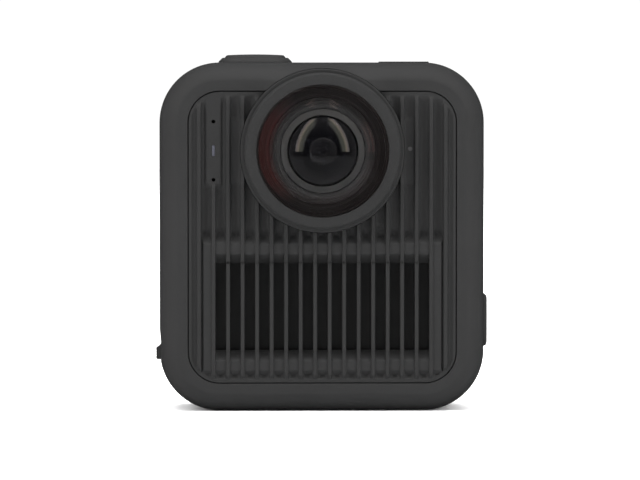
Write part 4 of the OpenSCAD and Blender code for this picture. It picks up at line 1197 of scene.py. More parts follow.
@dataclass
class FrontPanel:
    """Finned panel: a surface that follows a rule, the bars over its window and small pieces.

    The fields that are numbers are the named inputs of the rule's Geometry Nodes. The class's own
    numbers are for the block that the rule moves, which is then cut to the panel's outline.
    """

    overhang: ClassVar[float] = 0.6
    core: ClassVar[float] = 2.55

    finishes: Finishes
    repeater: Repeater
    housing: Housing
    fins: int = 18
    pitch: float = 2.815
    fin_width: float = 0.75
    fin_rise: float = 0.55
    flute: float = 0.6
    crest_edge: float = 0.12
    flank: float = 0.25
    moat: float = 0.2
    moat_place: float = 0.55
    moat_half: float = 0.5
    margin: float = 0.75
    top_taper: float = 2.1
    foot_taper: float = 0.9
    dip: float = 0.55
    dip_half: float = 1.7
    dip_drop: float = 0.5
    rim_rise: float = 0.26
    rim_half: float = 23.46
    rim_low: float = 6.45
    rim_high: float = 34.2
    rim_side_slope: float = 0.3
    rim_top_slope: float = 1.5
    rim_foot_slope: float = 1.6
    sill_low: float = 10.0
    sill_high: float = 30.7
    sill: float = 1.9
    sill_drop: float = 1.8
    window_depth: float = 2.0
    strip_half: float = 1.75
    strip_low: float = 43.2
    strip_slope: float = 1.3
    strip_drop: float = 0.12
    pad_near: float = 15.3
    pad_far: float = 18.0
    pad_half: float = 6.6
    pad_drop: float = 0.28
    box: Box = field(init=False)
    face: float = field(init=False)
    foot: float = field(init=False)
    top: float = field(init=False)
    half_width: float = field(init=False)
    corner_radius: float = field(init=False)
    lens_height: float = field(init=False)

    def __post_init__(self) -> None:
        """Takes the panel's place from the frame."""
        self.box = Box.of("front_panel")
        self.face = self.housing.half_depth - 0.05
        self.foot, self.top = self.box.low[2], self.box.high[2]
        self.half_width = self.box.high[0]
        self.corner_radius = self.housing.panel_radius
        self.lens_height = self.housing.lens_height

    @property
    def first_gap(self) -> float:
        """Distance from the middle to the outermost fin gap of the window."""
        return self.pitch * (self.fins / 2 - 2)

    @property
    def strip_x(self) -> float:
        """Place of the plain strip across the panel."""
        return (1 - (self.fins - 1) / 2) * self.pitch

    def columns(self) -> np.ndarray:
        """Gives the grid's places across the panel, close together at the edges of the fins."""
        half = self.fin_width / 2
        reach = (self.pitch - self.fin_width) / 2
        crest = [half * s for s in (-1, -0.9, -0.78, -0.68, -0.35, 0, 0.35, 0.68, 0.78, 0.9, 1)]
        across: list[float] = []
        for i in range(self.fins):
            centre = (i - (self.fins - 1) / 2) * self.pitch
            across += [centre + c for c in crest]
            if i < self.fins - 1:
                gap = centre + self.pitch / 2
                across += [gap + reach * math.sin(a) for a in np.radians(np.arange(-78, 79, 12))]
        last = (self.fins - 1) / 2 * self.pitch + half
        edge = np.linspace(last + 0.12, self.half_width + self.overhang, 16)
        return np.array(sorted([*across, *edge, *(-edge)]))

    def rows(self) -> np.ndarray:
        """Gives the grid's heights, close together where the fins and the rim end."""
        low, high = self.foot - self.overhang, self.top + self.overhang
        sill, window = self.sill_low + 0.2, self.sill_low + 2.4
        lintel, rim = self.sill_high - 2.5, self.rim_high + 0.8
        strip, strip_end, fin_ends = self.strip_low - 1.2, self.strip_low + 1.4, self.top - 6.1
        spans = [(low, sill, 0.2), (sill, window, 0.22), (window, lintel, 1.6), (lintel, rim, 0.22),
                 (rim, strip, 0.7), (strip, strip_end, 0.2), (strip_end, fin_ends, 0.7),
                 (fin_ends, high, 0.22)]
        heights = np.concatenate([np.arange(a, b - 1e-6, step) for a, b, step in spans])
        return np.append(heights, high)

    def blank(self) -> Shape:
        """Builds the closed block whose front is the fine grid.

        Returns:
            The block.
        """
        xs, zs = self.columns(), self.rows()
        n, m = len(xs), len(zs)
        grid_x, grid_z = np.meshgrid(xs, zs)
        front = np.column_stack([grid_x.ravel(), np.full(n * m, -self.face), grid_z.ravel()])
        faces = [(r * n + c, r * n + c + 1, (r + 1) * n + c + 1, (r + 1) * n + c)
                 for r in range(m - 1) for c in range(n - 1)]
        border = (list(range(n)) + [r * n + n - 1 for r in range(1, m)]
                  + [(m - 1) * n + c for c in range(n - 2, -1, -1)]
                  + [r * n for r in range(m - 2, 0, -1)])
        back = front[border] + np.array([0, self.core, 0])
        shift, count = n * m, len(border)
        faces += [(border[i], shift + i, shift + (i + 1) % count, border[(i + 1) % count])
                  for i in range(count)]
        faces.append(tuple(shift + i for i in range(count)))
        return Shape(np.vstack([front, back]), faces)

    def rule(self) -> tuple[bpy.types.NodeTree, dict[str, float]]:
        """Builds the Geometry Nodes that raise the fins, the flutes and the rim.

        Returns:
            The tree, and the value of each of its named inputs.
        """
        sizes = {f.name: float(getattr(self, f.name)) for f in fields(self) if f.type in (int, float)}
        tree = bpy.data.node_groups.new("finned_surface", "GeometryNodeTree")
        face = tree.interface
        face.new_socket("Geometry", in_out="INPUT", socket_type="NodeSocketGeometry")
        for name in sizes:
            face.new_socket(name, in_out="INPUT", socket_type="NodeSocketFloat")
        face.new_socket("finish", in_out="INPUT", socket_type="NodeSocketMaterial")
        face.new_socket("Geometry", in_out="OUTPUT", socket_type="NodeSocketGeometry")
        g = Graph(tree)
        group = g.node("NodeGroupInput").socket.node
        v = SimpleNamespace(**{s.name: Value(g, s) for s in group.outputs if s.name})
        px, py, pz = g.axes(g.node("GeometryNodeInputPosition"))
        x, y, z = px / MM, py / MM, pz / MM

        half, width = v.pitch / 2, v.fin_width / 2
        index = x / v.pitch + (v.fins - 1.0) / 2
        nearest = index.whole().high(0.0).low(v.fins - 1.0)
        away = abs(index - nearest) * v.pitch
        into = (half - away) / (half - width)
        bowl = (1.0 - into * into).root() * away.above(width)
        past = away.above(half + 0.02).high((-index * 50.0).unit())
        past = past.high(((index - v.fins + 1.0) * 50.0).unit())
        bowl = bowl * (1.0 - past)
        edge = ((away - width + v.crest_edge) / v.crest_edge).unit()
        rounding = (1.0 - (1.0 - edge * edge).root()) * v.crest_edge
        moat = (1.0 - ((away - width - v.moat_place) / v.moat_half) ** 2.0).root() * v.moat
        outside = ((away - width) / v.flank).unit() * (v.fin_rise + moat)
        drop = rounding.high((v.fin_rise + v.flute) * bowl).high(outside * past)

        over = (abs(x) - v.half_width + v.corner_radius).high(0.0)
        bow = v.corner_radius - (v.corner_radius * v.corner_radius - over * over).root()
        top_end = ((v.top - bow - z - v.margin) / v.top_taper).unit()
        foot_end = ((z - v.foot - bow - v.margin) / v.foot_taper).unit()
        taper = top_end * (2.0 - top_end) * (foot_end * (2.0 - foot_end))
        low_end = (z - v.rim_high + v.dip_drop) / v.dip_half
        dip = (1.0 - low_end * low_end).high(0.0) * v.dip * bowl
        finned = v.face + taper * (v.fin_rise - drop) - dip

        in_x = ((v.rim_half - v.pitch + 0.1 - abs(x)) / 0.1).unit()
        in_z = ((z - v.sill_low) * 4.0).unit() * ((v.sill_high - z) * 4.0).unit()
        finned = finned - in_x * in_z * away.above(width) * v.window_depth

        strip_x = (1.0 - v.fins) / 2 * v.pitch + v.pitch
        strip = ((v.strip_half - abs(x - strip_x)) / 0.35).unit()
        strip = strip * ((z - v.strip_low) / v.strip_slope).unit()
        finned = finned * (1.0 - strip) + (v.face - v.strip_drop) * strip

        side = (abs(x) - v.pad_near).unit() * ((v.pad_far - abs(x)) / 0.3).unit()
        pad = side * ((v.pad_half - abs(z - v.lens_height)) / 0.8).unit()
        finned = finned * (1.0 - pad) + (v.face - v.pad_drop) * pad

        rim = ((v.rim_half - abs(x)) / v.rim_side_slope).unit()
        rim = rim.low(((v.rim_high - z) / v.rim_top_slope).unit())
        rim = rim.low(((z - v.rim_low) / v.rim_foot_slope).unit())
        upper = z.above((v.sill_low + v.sill_high) / 2)
        sunk = ((z - v.sill_low) / v.sill).unit() * (1.0 - upper)
        sunk = sunk.high(((v.sill_high - z) / v.sill).unit() * upper) * in_x
        height = finned.high(v.face - 1.0 + rim * (1.0 + v.rim_rise) - sunk * v.sill_drop)

        moved = g.node("ShaderNodeCombineXYZ", None, {0: px, 1: height * -MM, 2: pz})
        placed = g.node("GeometryNodeSetPosition", None, {
            "Geometry": v.Geometry, "Selection": (-y).above(v.face - 0.5), "Position": moved})
        real = g.node("GeometryNodeRealizeInstances", None, {0: placed})
        dressed = g.node("GeometryNodeSetMaterial", None, {0: real, "Material": v.finish})
        out = tree.nodes.new("NodeGroupOutput")
        tree.links.new(dressed.socket, out.inputs[0])
        return tree, sizes

    def surface(self) -> bpy.types.Object:
        """Builds the panel with its outline, window and holes.

        Returns:
            The piece.
        """
        piece = make_object("finned_panel", self.blank(), self.finishes.panel, 50.0)
        tree, sizes = self.rule()
        values = {**sizes, "finish": self.finishes.panel}
        rule = piece.modifiers.new("rule", "NODES")
        rule.node_group = tree
        for item in tree.interface.items_tree:
            if item.in_out == "INPUT" and item.name in values:
                rule[item.identifier] = values[item.name]
        settle(piece)
        width, _, height = self.box.size
        outline = Outline(width, height, self.corner_radius, 24)
        inner = rise(outline, Facing.FRONT, (0.0, self.box.middle[2]),
                     [(0, self.face - 4), (0, self.face + 2)])
        carve(piece, [inner], keep=True, angle=50.0)
        window = self.first_gap + (self.pitch - self.fin_width) / 2
        cuts = [
            rod(Facing.FRONT, (0.0, self.lens_height), self.housing.boss, self.face - 5, self.face + 3,
                steps=160),
            block((-window, -self.face - 2, self.sill_low + self.sill),
                  (window, -self.face + 5, self.sill_high - self.sill)),
        ]
        return carve(piece, cuts + self.small_holes(), angle=50.0)

    def small_holes(self, sound_hole: float = 0.37, spread: float = 5.65) -> list[Shape]:
        """Gives cutters for the microphones and the light.

        Args:
            sound_hole: Radius of a microphone's hole.
            spread: Distance of each of them from the light.

        Returns:
            Closed cutters.
        """
        ends = self.face - 5, self.face + 2
        cuts = [rod(Facing.FRONT, (self.strip_x, self.lens_height + s * spread), sound_hole, *ends,
                    steps=24) for s in (-1, 1)]
        slot = rise(Outline(0.6, 2.2, 0.29, 8), Facing.FRONT, (self.strip_x, self.lens_height),
                    [(0, end) for end in ends])
        return cuts + [slot]

    def bars(self) -> bpy.types.Object:
        """Builds the bars over the window, from one template at the middle of the camera.

        Returns:
            The piece.
        """
        half, top, back = self.fin_width / 2, self.face + self.fin_rise, self.face - 1.9
        side = [(half - self.crest_edge + self.crest_edge * math.cos(a),
                 top - self.crest_edge + self.crest_edge * math.sin(a))
                for a in np.radians([0, 25, 50, 72, 90])]
        section = [(-half, back), (half, back)] + side + [(-u, h) for u, h in reversed(side)]
        low, high = self.sill_low + self.sill - 0.4, self.sill_high - self.sill + 0.4
        bar = loft([np.array([(u, -h, z) for u, h in section]) for z in (low, high)])
        return self.repeater.lay("window_bars", bar, self.fins - 4,
                                 (-self.first_gap + self.pitch / 2, 0, 0), (self.pitch, 0, 0),
                                 self.finishes.panel)

    def light(self) -> bpy.types.Object:
        """Builds the status light's guide.

        Returns:
            The piece.
        """
        levels = [(0, self.face - 2.4), (0, self.face - 0.2), (0.08, self.face - 0.12)]
        guide = rise(Outline(0.56, 2.14, 0.26, 8), Facing.FRONT, (self.strip_x, self.lens_height),
                     levels, crown=0.03)
        return make_object("light_guide_lens", guide, self.finishes.light)

    def marks(self, x: float = 17.05, radius: float = 0.42) -> bpy.types.Object:
        """Builds the index dots beside the two lenses.

        Args:
            x: Place of a dot across its side of the body.
            radius: Radius of a dot.

        Returns:
            The piece.
        """
        dots = Shape(np.zeros((0, 3)), [])
        for facing, level in ((Facing.FRONT, self.face - 0.24), (Facing.REAR, self.face + 0.01)):
            dots = dots + rod(facing, (x, self.lens_height + 0.35), radius, level - 0.3,
                              level + 0.02, 0.02, 40)
        return make_object("index_marks", dots, self.finishes.ink)

    def build(self) -> None:
        """Builds the panel's pieces."""
        fit(self.surface(), BODY, "finned_panel", "front_panel")
        fit(self.bars(), BODY, "finned_panel")
        fit(self.light(), BODY, "light_guide", "status_light")
        fit(self.marks(), BODY, "index_ink", "index_dots")


class Side(Enum):
    """Which of the two lens units."""

    FRONT = "front"
    REAR = "rear"


@dataclass
class LensUnit:
    """One lens: the ring on the body, the twist-off cover and the optics inside."""

    finishes: Finishes
    side: Side
    half_depth: float
    height: float
    boss_top: float = 1.1
    seat: float = 2.6
    mount_bore: float = 13.05
    mount_lip: float = 14.6
    bayonet_bore: float = 15.2
    bayonet_depth: float = 0.9
    collar_height: float = 3.0
    collar_fall: float = 0.13
    chamfer: float = 0.45
    skirt: float = 14.5
    skirt_bore: float = 13.8
    skirt_depth: float = 2.05
    lug_height: float = 0.8
    lip: float = 12.8
    dome: float = 15.6
    dome_edge: float = 13.74
    dome_inner_edge: float = 13.5
    glass: float = 1.2
    seal: float = 14.15
    seal_drop: float = 2.4
    seal_half: float = 0.24
    barrel: float = 12.9
    step_height: float = 0.9
    element: float = 6.8
    element_crown: float = 2.4
    retainer: float = 8.15
    retainer_slope: float = 0.58
    facing: Facing = field(init=False)
    boss: float = field(init=False)
    collar: float = field(init=False)
    top: float = field(init=False)
    base: float = field(init=False)
    centre: float = field(init=False)

    def __post_init__(self) -> None:
        """Works out the heights along the lens axis."""
        self.facing = Facing.FRONT if self.side is Side.FRONT else Facing.REAR
        dome = Box.of(self.name("lens_dome"))
        self.boss = Box.of(self.name("lens_mount")).high[0]
        self.collar = Box.of(self.name("lens_collar")).high[0]
        self.top = self.half_depth + self.boss_top
        self.base = self.top + 0.1
        self.centre = max(abs(dome.low[1]), abs(dome.high[1])) - self.dome

    def name(self, piece: str) -> str:
        """Gives the piece's name with its side in front."""
        return f"{self.side.value}_{piece}"

    def placed(self, shape: Shape) -> Shape:
        """Moves a shape from the lens axis to its place on the body."""
        return Shape(self.facing.place(shape.points + np.array([0, self.height, 0])), shape.faces)

    def add(self, piece: str, profile: Sequence[Pair], finish: bpy.types.Material, body: str,
            slot: str, *nodes: str, closed: bool = True, angle: float = 28.0,
            steps: int = 160) -> bpy.types.Object:
        """Turns a profile into a finished piece.

        Args:
            piece: Name without the side.
            profile: Pairs of radius and height.
            finish: Material of the piece.
            body: Body that it rides on.
            slot: Material slot of the record.
            nodes: CAD nodes that it stands for, without the side.
            closed: Whether the profile closes on itself.
            angle: Angle past which an edge stays sharp.
            steps: Number of pieces round the axis.

        Returns:
            The piece.
        """
        shape = self.placed(turned(profile, steps, closed))
        made = make_object(self.name(piece), shape, finish, angle)
        return fit(made, body, slot, *[self.name(n) for n in nodes])

    def mount(self) -> None:
        """Builds the fixed ring round the bayonet."""
        base, top, groove = self.half_depth - self.seat, self.top, self.top - self.bayonet_depth
        profile = [(self.mount_bore, base), (self.boss - 0.1, base), (self.boss, base + 0.1)]
        profile += arc((self.boss - 0.3, top - 0.3), 0.3, 0, 90, 5)
        profile += [(self.mount_lip + 0.15, top), (self.mount_lip, top - 0.15), (self.mount_lip, groove),
                    (self.bayonet_bore, groove), (self.bayonet_bore, base + 1),
                    (self.mount_bore, base + 1)]
        self.add("bayonet_ring", profile, self.finishes.shell, BODY, "lens_cover_ring", "lens_mount")

    def collar_profile(self) -> list[Pair]:
        """Gives the collar's section, with a top that falls a little towards its outer edge.

        Returns:
            Pairs of radius and height.
        """
        base, top, out = self.base, self.base + self.collar_height, self.collar
        shoulder, foot = top - self.collar_fall, base + 1.0
        profile = [(out - 0.12, base), (out, base + 0.12), (out, shoulder - self.chamfer - 0.05),
                   (out - 0.05, shoulder - self.chamfer + 0.04),
                   (out - self.chamfer + 0.05, shoulder - 0.03), (out - self.chamfer - 0.04, shoulder),
                   (self.lip + 0.3, top)]
        profile += arc((self.lip + 0.14, top - 0.14), 0.14, 90, 180, 4)
        edge_height = self.centre + math.sqrt(self.dome ** 2 - self.lip ** 2)
        profile += [(self.lip, max(edge_height, top - 0.5))]
        reach = self.dome + 0.05
        for r in (13.2, 13.5, 13.8, 14.0, 14.15):
            h = self.centre + math.sqrt(max(reach ** 2 - r ** 2, 0))
            if foot < h < top - 0.5:
                profile.append((r, h))
        low = base - self.skirt_depth
        return profile + [(self.skirt_bore + 0.3, foot), (self.skirt_bore, foot), (self.skirt_bore, low),
                          (self.skirt - 0.1, low), (self.skirt, low + 0.1), (self.skirt, base)]

    def cover(self) -> None:
        """Builds the twist-off cover: collar with its lugs, dome and seal."""
        body = f"{self.side.value}_lens_cover"
        low = self.base - self.skirt_depth
        shape = self.placed(turned(self.collar_profile(), 192))
        for i in range(3):
            shape = shape + self.placed(self.lug(i * 120.0, low, low + self.lug_height))
        collar = make_object(self.name("cover_collar"), shape, self.finishes.ring, 24.0)
        fit(collar, body, "lens_cover_ring", self.name("lens_collar"))

        rise_above = self.base + 1.0 - self.centre
        inner = self.dome - self.glass
        edge = math.degrees(math.asin(rise_above / self.dome))
        inner_edge = math.degrees(math.asin(min(rise_above / inner, 1)))
        outside = [(min(r, self.dome_edge), h)
                   for r, h in arc((0, self.centre), self.dome, 90, edge, 44)]
        inside = [(min(r, self.dome_inner_edge), h)
                  for r, h in arc((0, self.centre), inner, inner_edge, 90, 36)]
        dome = self.placed(turned(outside + inside, 160, closed=False))
        glass = make_object(self.name("cover_dome"), dome, self.finishes.dome, 40.0)
        fit(glass, body, "dome_glass", self.name("lens_dome"))

        section = arc((self.seal, self.base - self.seal_drop), self.seal_half, 0, 345, 23)
        self.add("cover_seal", section, self.finishes.rubber, body, "seal_rubber", "lens_seal",
                 angle=60.0, steps=96)

    @staticmethod
    def lug(angle: float, low: float, high: float) -> Shape:
        """Builds one bayonet lug.

        Args:
            angle: Its place round the axis in degrees.
            low: Its lower height.
            high: Its upper height.

        Returns:
            The lug, on the lens axis.
        """
        loops = []
        for a in np.radians(np.linspace(angle - 12.5, angle + 12.5, 9)):
            section = [(14.2, low), (15.0, low), (15.1, low + 0.1), (15.1, high - 0.1), (15.0, high),
                       (14.2, high)]
            loops.append(np.array([(r * math.cos(a), r * math.sin(a), h) for r, h in section]))
        return loft(loops)

    def optics(self) -> None:
        """Builds the barrel, the retaining ring, the element and what lies behind it."""
        rim = self.top - 0.3
        tube = self.retainer + 1.0
        profile = [(self.element, 3.0), (tube, 3.0), (tube, 6.0), (self.barrel, 6.0)]
        profile += arc((self.barrel - 0.2, rim - 0.2), 0.2, 0, 90, 4)
        profile += [(12.25, rim), (12.2, rim - 0.05), (12.15, rim - 0.25), (tube + 1.3, rim - 0.25)]
        for i, r in enumerate((tube + 1.2, tube + 0.6, tube)):
            h = rim + self.step_height * (i + 1)
            profile += [(r, h - 0.12), (r - 0.04, h - 0.03), (r - 0.13, h)]
            if i < 2:
                profile += [(r - 0.5, h), (r - 0.58, h + 0.06)]
        seat = self.base + 1.4
        profile += [(self.retainer + 0.12, rim + 2.7), (self.retainer + 0.1, seat), (self.element, seat)]
        self.add("light_trap_barrel", profile, self.finishes.trap, BODY, "black_plastic",
                 "lens_barrel", angle=22.0, steps=192)

        low, top = self.base + 1.5, self.base + 2.7
        bore = self.element + 0.06
        ring = [(bore, low), (self.retainer - 0.06, low), (self.retainer, low + 0.06)]
        ring += arc((self.retainer - 0.16, top - self.retainer_slope), 0.16, 0, 70, 4)
        ring += arc((bore + 0.1, top - 0.1), 0.1, 90, 180, 3)
        self.add("retaining_ring", ring, self.finishes.retainer, BODY, "grey_anodised",
                 "lens_retainer", angle=24.0, steps=160)

        crown, foot = self.element_crown, top - 0.4
        radius = (self.element ** 2 + crown ** 2) / (2 * crown)
        edge = math.degrees(math.asin(self.element / radius))
        front = arc((0, foot + crown - radius), radius, 90, edge, 32)
        back = [(self.element, foot - 1.0), (5.6, foot - 1.0), (4.2, foot - 0.4), (2.2, foot + 0.1),
                (0.0, foot + 0.2)]
        self.add("front_element", front + back, self.finishes.element, BODY, "element_glass",
                 "lens_element", closed=False, angle=50.0, steps=128)

    def build(self) -> None:
        """Builds the whole unit."""
        self.mount()
        self.cover()
        self.optics()


@dataclass
class RearFace:
    """Rear panel with a recess for the touch screen, and the screen's glass."""

    finishes: Finishes
    housing: Housing
    thickness: float = 2.55
    glass_radius: float = 2.85
    glass_gap: float = 0.15
    glass_seat: float = 2.1

    def build(self) -> None:
        """Builds the panel and the glass."""
        panel, touch = Box.of("rear_panel"), Box.of("touch_glass")
        face, depth = panel.high[1], touch.size[1]
        outline = Outline(panel.size[0], panel.size[2], self.housing.panel_radius, 20)
        slab = rise(outline, Facing.REAR, (0.0, panel.middle[2]),
                    [(0.6, face - self.thickness), (0, face - 2.2), (0, face - 0.14),
                     (0.05, face - 0.04), (0.16, face)])
        piece = make_object("screen_surround", slab, self.finishes.shell, 30.0)
        centre = (0.0, touch.middle[2])
        glass = Outline(touch.size[0], touch.size[2], self.glass_radius, 12)
        cuts = [
            rod(Facing.REAR, (0.0, self.housing.lens_height), self.housing.boss, face - 5, face + 3,
                steps=160),
            rise(glass, Facing.REAR, centre,
                 [(-self.glass_gap, face - depth), (-self.glass_gap, face - 0.12), (-1.3, face + 1)]),
            rise(glass, Facing.REAR, centre,
                 [(self.glass_seat, face - 5), (self.glass_seat, face - depth + 0.1)]),
        ]
        carve(piece, cuts, angle=30.0)
        fit(piece, BODY, "body_shell", "rear_panel")
        pane = rise(glass, Facing.REAR, centre,
                    [(0, face - depth), (0, face - 0.25), (0.05, face - 0.12), (0.16, face - 0.03),
                     (0.3, face)])
        fit(make_object("touch_pane", pane, self.finishes.screen, 30.0), BODY, "screen_glass",
            "touch_glass")


@dataclass
class SideDoor:
    """Door over the battery and the ports, with its latch, springs and rubber frame."""

    finishes: Finishes
    housing: Housing
    thickness: float = 1.6
    barrel: float = 1.2
    bore: float = 0.55
    recess_width: float = 4.8
    recess_height: float = 5.9
    track_half: float = 3.2
    bolt_half: float = 1.4
    latch_half: float = 2.1
    nub_height: float = 3.3
    nub_slope: float = 1.1
    rib_pitch: float = 0.45
    rib_depth: float = 0.14

    def panel(self) -> None:
        """Builds the door leaf with its hinge barrel and latch recess."""
        door, wide = Box.of("side_door"), self.housing.box.high[0]
        half, foot = door.high[1], door.low[2]
        hinge = door.high[2] - self.barrel
        band = [(0, -half - 1), (0, half + 1), (self.thickness, half + 1), (self.thickness, -half - 1)]
        piece = make_object("door_leaf", self.housing.sweep(band, 28, 6), self.finishes.shell)
        height = hinge - foot + 3
        keep = rise(Outline(2 * half, height, 1.5, 10), Facing.LEFT, (0.0, foot + height / 2),
                    [(0, wide - 6), (0, wide + 2)])
        carve(piece, [keep], keep=True)
        slot = Box.of("door_latch").low[2] + 1.05
        recess = Outline(self.recess_width, self.recess_height, 0.5, 8)
        track, floor = -wide + 1.05, wide - 1.05
        cuts = [
            self.housing.hollow(),
            block((-wide - 2, -half - 2, hinge), (0, half + 2, hinge + 20)),
            rise(recess, Facing.LEFT, (0.0, slot + self.recess_height / 2),
                 [(0.1, floor), (0.1, wide - 0.2), (-0.1, wide + 0.05), (-0.1, wide + 2)]),
            block((-wide + 0.4, -self.track_half, slot - 0.05), (track, self.track_half, 17.0)),
            block((-wide + 0.65, -self.bolt_half, foot - 1), (track, self.bolt_half, slot + 0.1)),
        ]
        carve(piece, cuts)
        soften(piece, 0.16, 3, 50.0)
        axis = [(self.bore, -half), (self.barrel - 0.1, -half), (self.barrel, -half + 0.1),
                (self.barrel, half - 0.1), (self.barrel - 0.1, half), (self.bore, half)]
        tube = turned(axis, 56)
        points = tube.points[:, [0, 2, 1]] + np.array([-wide + self.barrel, 0, hinge])
        knuckle = make_object("door_knuckle", Shape(points, tube.faces), self.finishes.shell, 40.0)
        fit(piece, "door", "body_shell", "side_door")
        fit(knuckle, "door", "body_shell")

    def latch(self) -> None:
        """Builds the latch with ribs across its thumb piece."""
        box, wide = Box.of("door_latch"), self.housing.box.high[0]
        out, base = -box.low[0], box.low[2]
        foot, face, back = base + 1.3, wide - 0.475, wide - 0.97
        head = foot + self.nub_height
        side = [(back, base + 1.15), (face, base + 1.15), (face, foot), (out - 0.16, foot),
                (out, foot + 0.3)]
        for i in range(3):
            z, groove = foot + 0.75 + self.rib_pitch * i, out - self.rib_depth
            side += [(out, z - 0.13), (groove, z - 0.06), (groove, z + 0.06), (out, z + 0.13)]
        side += [(out, head - self.nub_slope), (wide + 0.36, head - 0.8 * self.nub_slope), (face, head),
                 (face, base + 7.0), (back, base + 7.0)]
        loops = [np.array([(-h, y, z) for h, z in side]) for y in (-self.latch_half, self.latch_half)]
        nub = make_object("latch_slider", loft(loops), self.finishes.button)
        soften(nub, 0.06, 2, 35.0)
        fit(nub, "latch", "button_plastic", "door_latch")

    def springs(self, radius: float = 0.22, wire: float = 0.06, turns: int = 9) -> None:
        """Builds the two latch springs as real coils.

        Args:
            radius: Radius of the coil's middle line.
            wire: Radius of the wire.
            turns: Number of turns.
        """
        box = Box.of("latch_springs")
        low, length = box.low[2] + wire, box.size[2] - 2 * wire
        shape = Shape(np.zeros((0, 3)), [])
        for y in (box.low[1] + radius + wire, box.high[1] - radius - wire):
            loops = []
            for t in np.linspace(0, 1, turns * 14 + 1):
                a = 2 * math.pi * turns * t
                out = np.array([math.cos(a), math.sin(a), 0.0])
                middle = np.array([box.middle[0], y, low + length * t])
                loops.append(np.array([middle + out * r + np.array([0, 0, h])
                                       for r, h in arc((radius, 0.0), wire, 0, 300, 5)]))
            shape = shape + loft(loops)
        fit(make_object("latch_coils", shape, self.finishes.steel, 60.0), "door", "steel",
            "latch_springs")

    def seal(self) -> None:
        """Builds the rubber frame inside the door, with a rounded lip."""
        box = Box.of("side_door_seal")
        outline = Outline(box.size[1], box.size[2], 1.6, 10)
        back, tip = -box.low[0], -box.high[0]
        levels = [(0, back), (0, tip + 0.2), (0.12, tip + 0.05), (0.3, tip), (0.5, tip),
                  (0.68, tip + 0.05), (0.8, tip + 0.2), (0.8, back)]
        gasket = rise(outline, Facing.LEFT, (0.0, box.middle[2]), levels, closed=True)
        fit(make_object("door_gasket", gasket, self.finishes.rubber, 60.0), "door", "seal_rubber",
            "side_door_seal")

    def build(self) -> None:
        """Builds all the door's pieces."""
        self.panel()
        self.latch()
        self.springs()
        self.seal()


@dataclass
class Buttons:
    """Shutter button with its surround, mode button and the cover over the top microphones."""

    finishes: Finishes
    housing: Housing
    hole_width: float = 12.16
    cap_width: float = 12.0
    cap_depth: float = 10.0
    cap_crown: float = 0.14
    key_crown: float = 0.04

    def shutter(self) -> None:
        """Builds the surround and the crowned button."""
        bezel, button, top = Box.of("shutter_bezel"), Box.of("shutter_button"), self.housing.box.high[2]
        x, crest = bezel.middle[0], bezel.high[2]
        hole = (bezel.size[0] - self.hole_width) / 2
        levels = [(0.0, top - 0.02), (0.02, top + 0.12), (0.1, top + 0.25), (0.62, crest - 0.16),
                  (0.72, crest - 0.05), (0.86, crest), (hole - 0.06, crest), (hole, crest - 0.06),
                  (hole, top - 1.8), (hole - 0.4, top - 1.8), (hole - 0.4, top - 0.02)]
        ring = rise(Outline(bezel.size[0], bezel.size[1], 3.4, 14), Facing.TOP, (x, 0.0), levels,
                    closed=True)
        fit(make_object("shutter_surround", ring, self.finishes.button, 28.0), BODY,
            "button_plastic", "shutter_bezel")
        foot, head = button.low[2], button.high[2]
        levels = [(-0.5, foot + 0.5), (-0.5, foot + 1.2), (0, foot + 1.25), (0, crest - 0.1),
                  (0.03, crest), (0.3, head - 0.32), (0.42, head - 0.22), (0.58, head - 0.16),
                  (0.85, head - self.cap_crown)]
        key = rise(Outline(self.cap_width, self.cap_depth, 2.4, 14), Facing.TOP, (x, 0.0), levels,
                   crown=self.cap_crown)
        fit(make_object("shutter_key", key, self.finishes.button, 30.0), "shutter",
            "button_plastic", "shutter_button")

    def mode(self) -> None:
        """Builds the mode button."""
        box, flange = Box.of("mode_button"), self.housing.key_flange
        out, seat = box.high[0], self.housing.box.high[0] - 2.0
        outline = Outline(box.size[1] - 2 * flange, box.size[2] - 2 * flange, 1.5, 12)
        levels = [(-flange, seat - 0.7), (-flange, seat), (0, seat), (0, out - 0.62),
                  (0.06, out - 0.42), (0.2, out - 0.22), (0.42, out - 0.09), (0.7, out - self.key_crown)]
        key = rise(outline, Facing.RIGHT, (0.0, box.middle[2]), levels, crown=self.key_crown)
        fit(make_object("mode_key_cap", key, self.finishes.button, 30.0), "mode_key",
            "button_plastic", "mode_button")

    def cover(self) -> None:
        """Builds the low cover over the top microphones."""
        box, top, neck = Box.of("top_mic_cover"), self.housing.box.high[2], 0.9
        x, head = box.middle[0], box.high[2]
        levels = [(neck, top - 1.8), (neck, top - 0.01), (0.0, top - 0.01), (0.0, head - 0.16),
                  (0.05, head - 0.06), (0.18, head)]
        plate = rise(Outline(box.size[0], box.size[1], 1.2, 12), Facing.TOP, (x, 0.0), levels)
        piece = make_object("mic_cover", plate, self.finishes.shell, 30.0)
        carve(piece, [rod(Facing.TOP, (x + 2.0 * i, 0.0), self.housing.sound_hole, top - 4, top + 2,
                          steps=24) for i in (-1, 0, 1)])
        fit(piece, BODY, "body_shell", "top_mic_cover")

    def build(self) -> None:
        """Builds the buttons and the cover."""
        self.shutter()
        self.mode()
        self.cover()


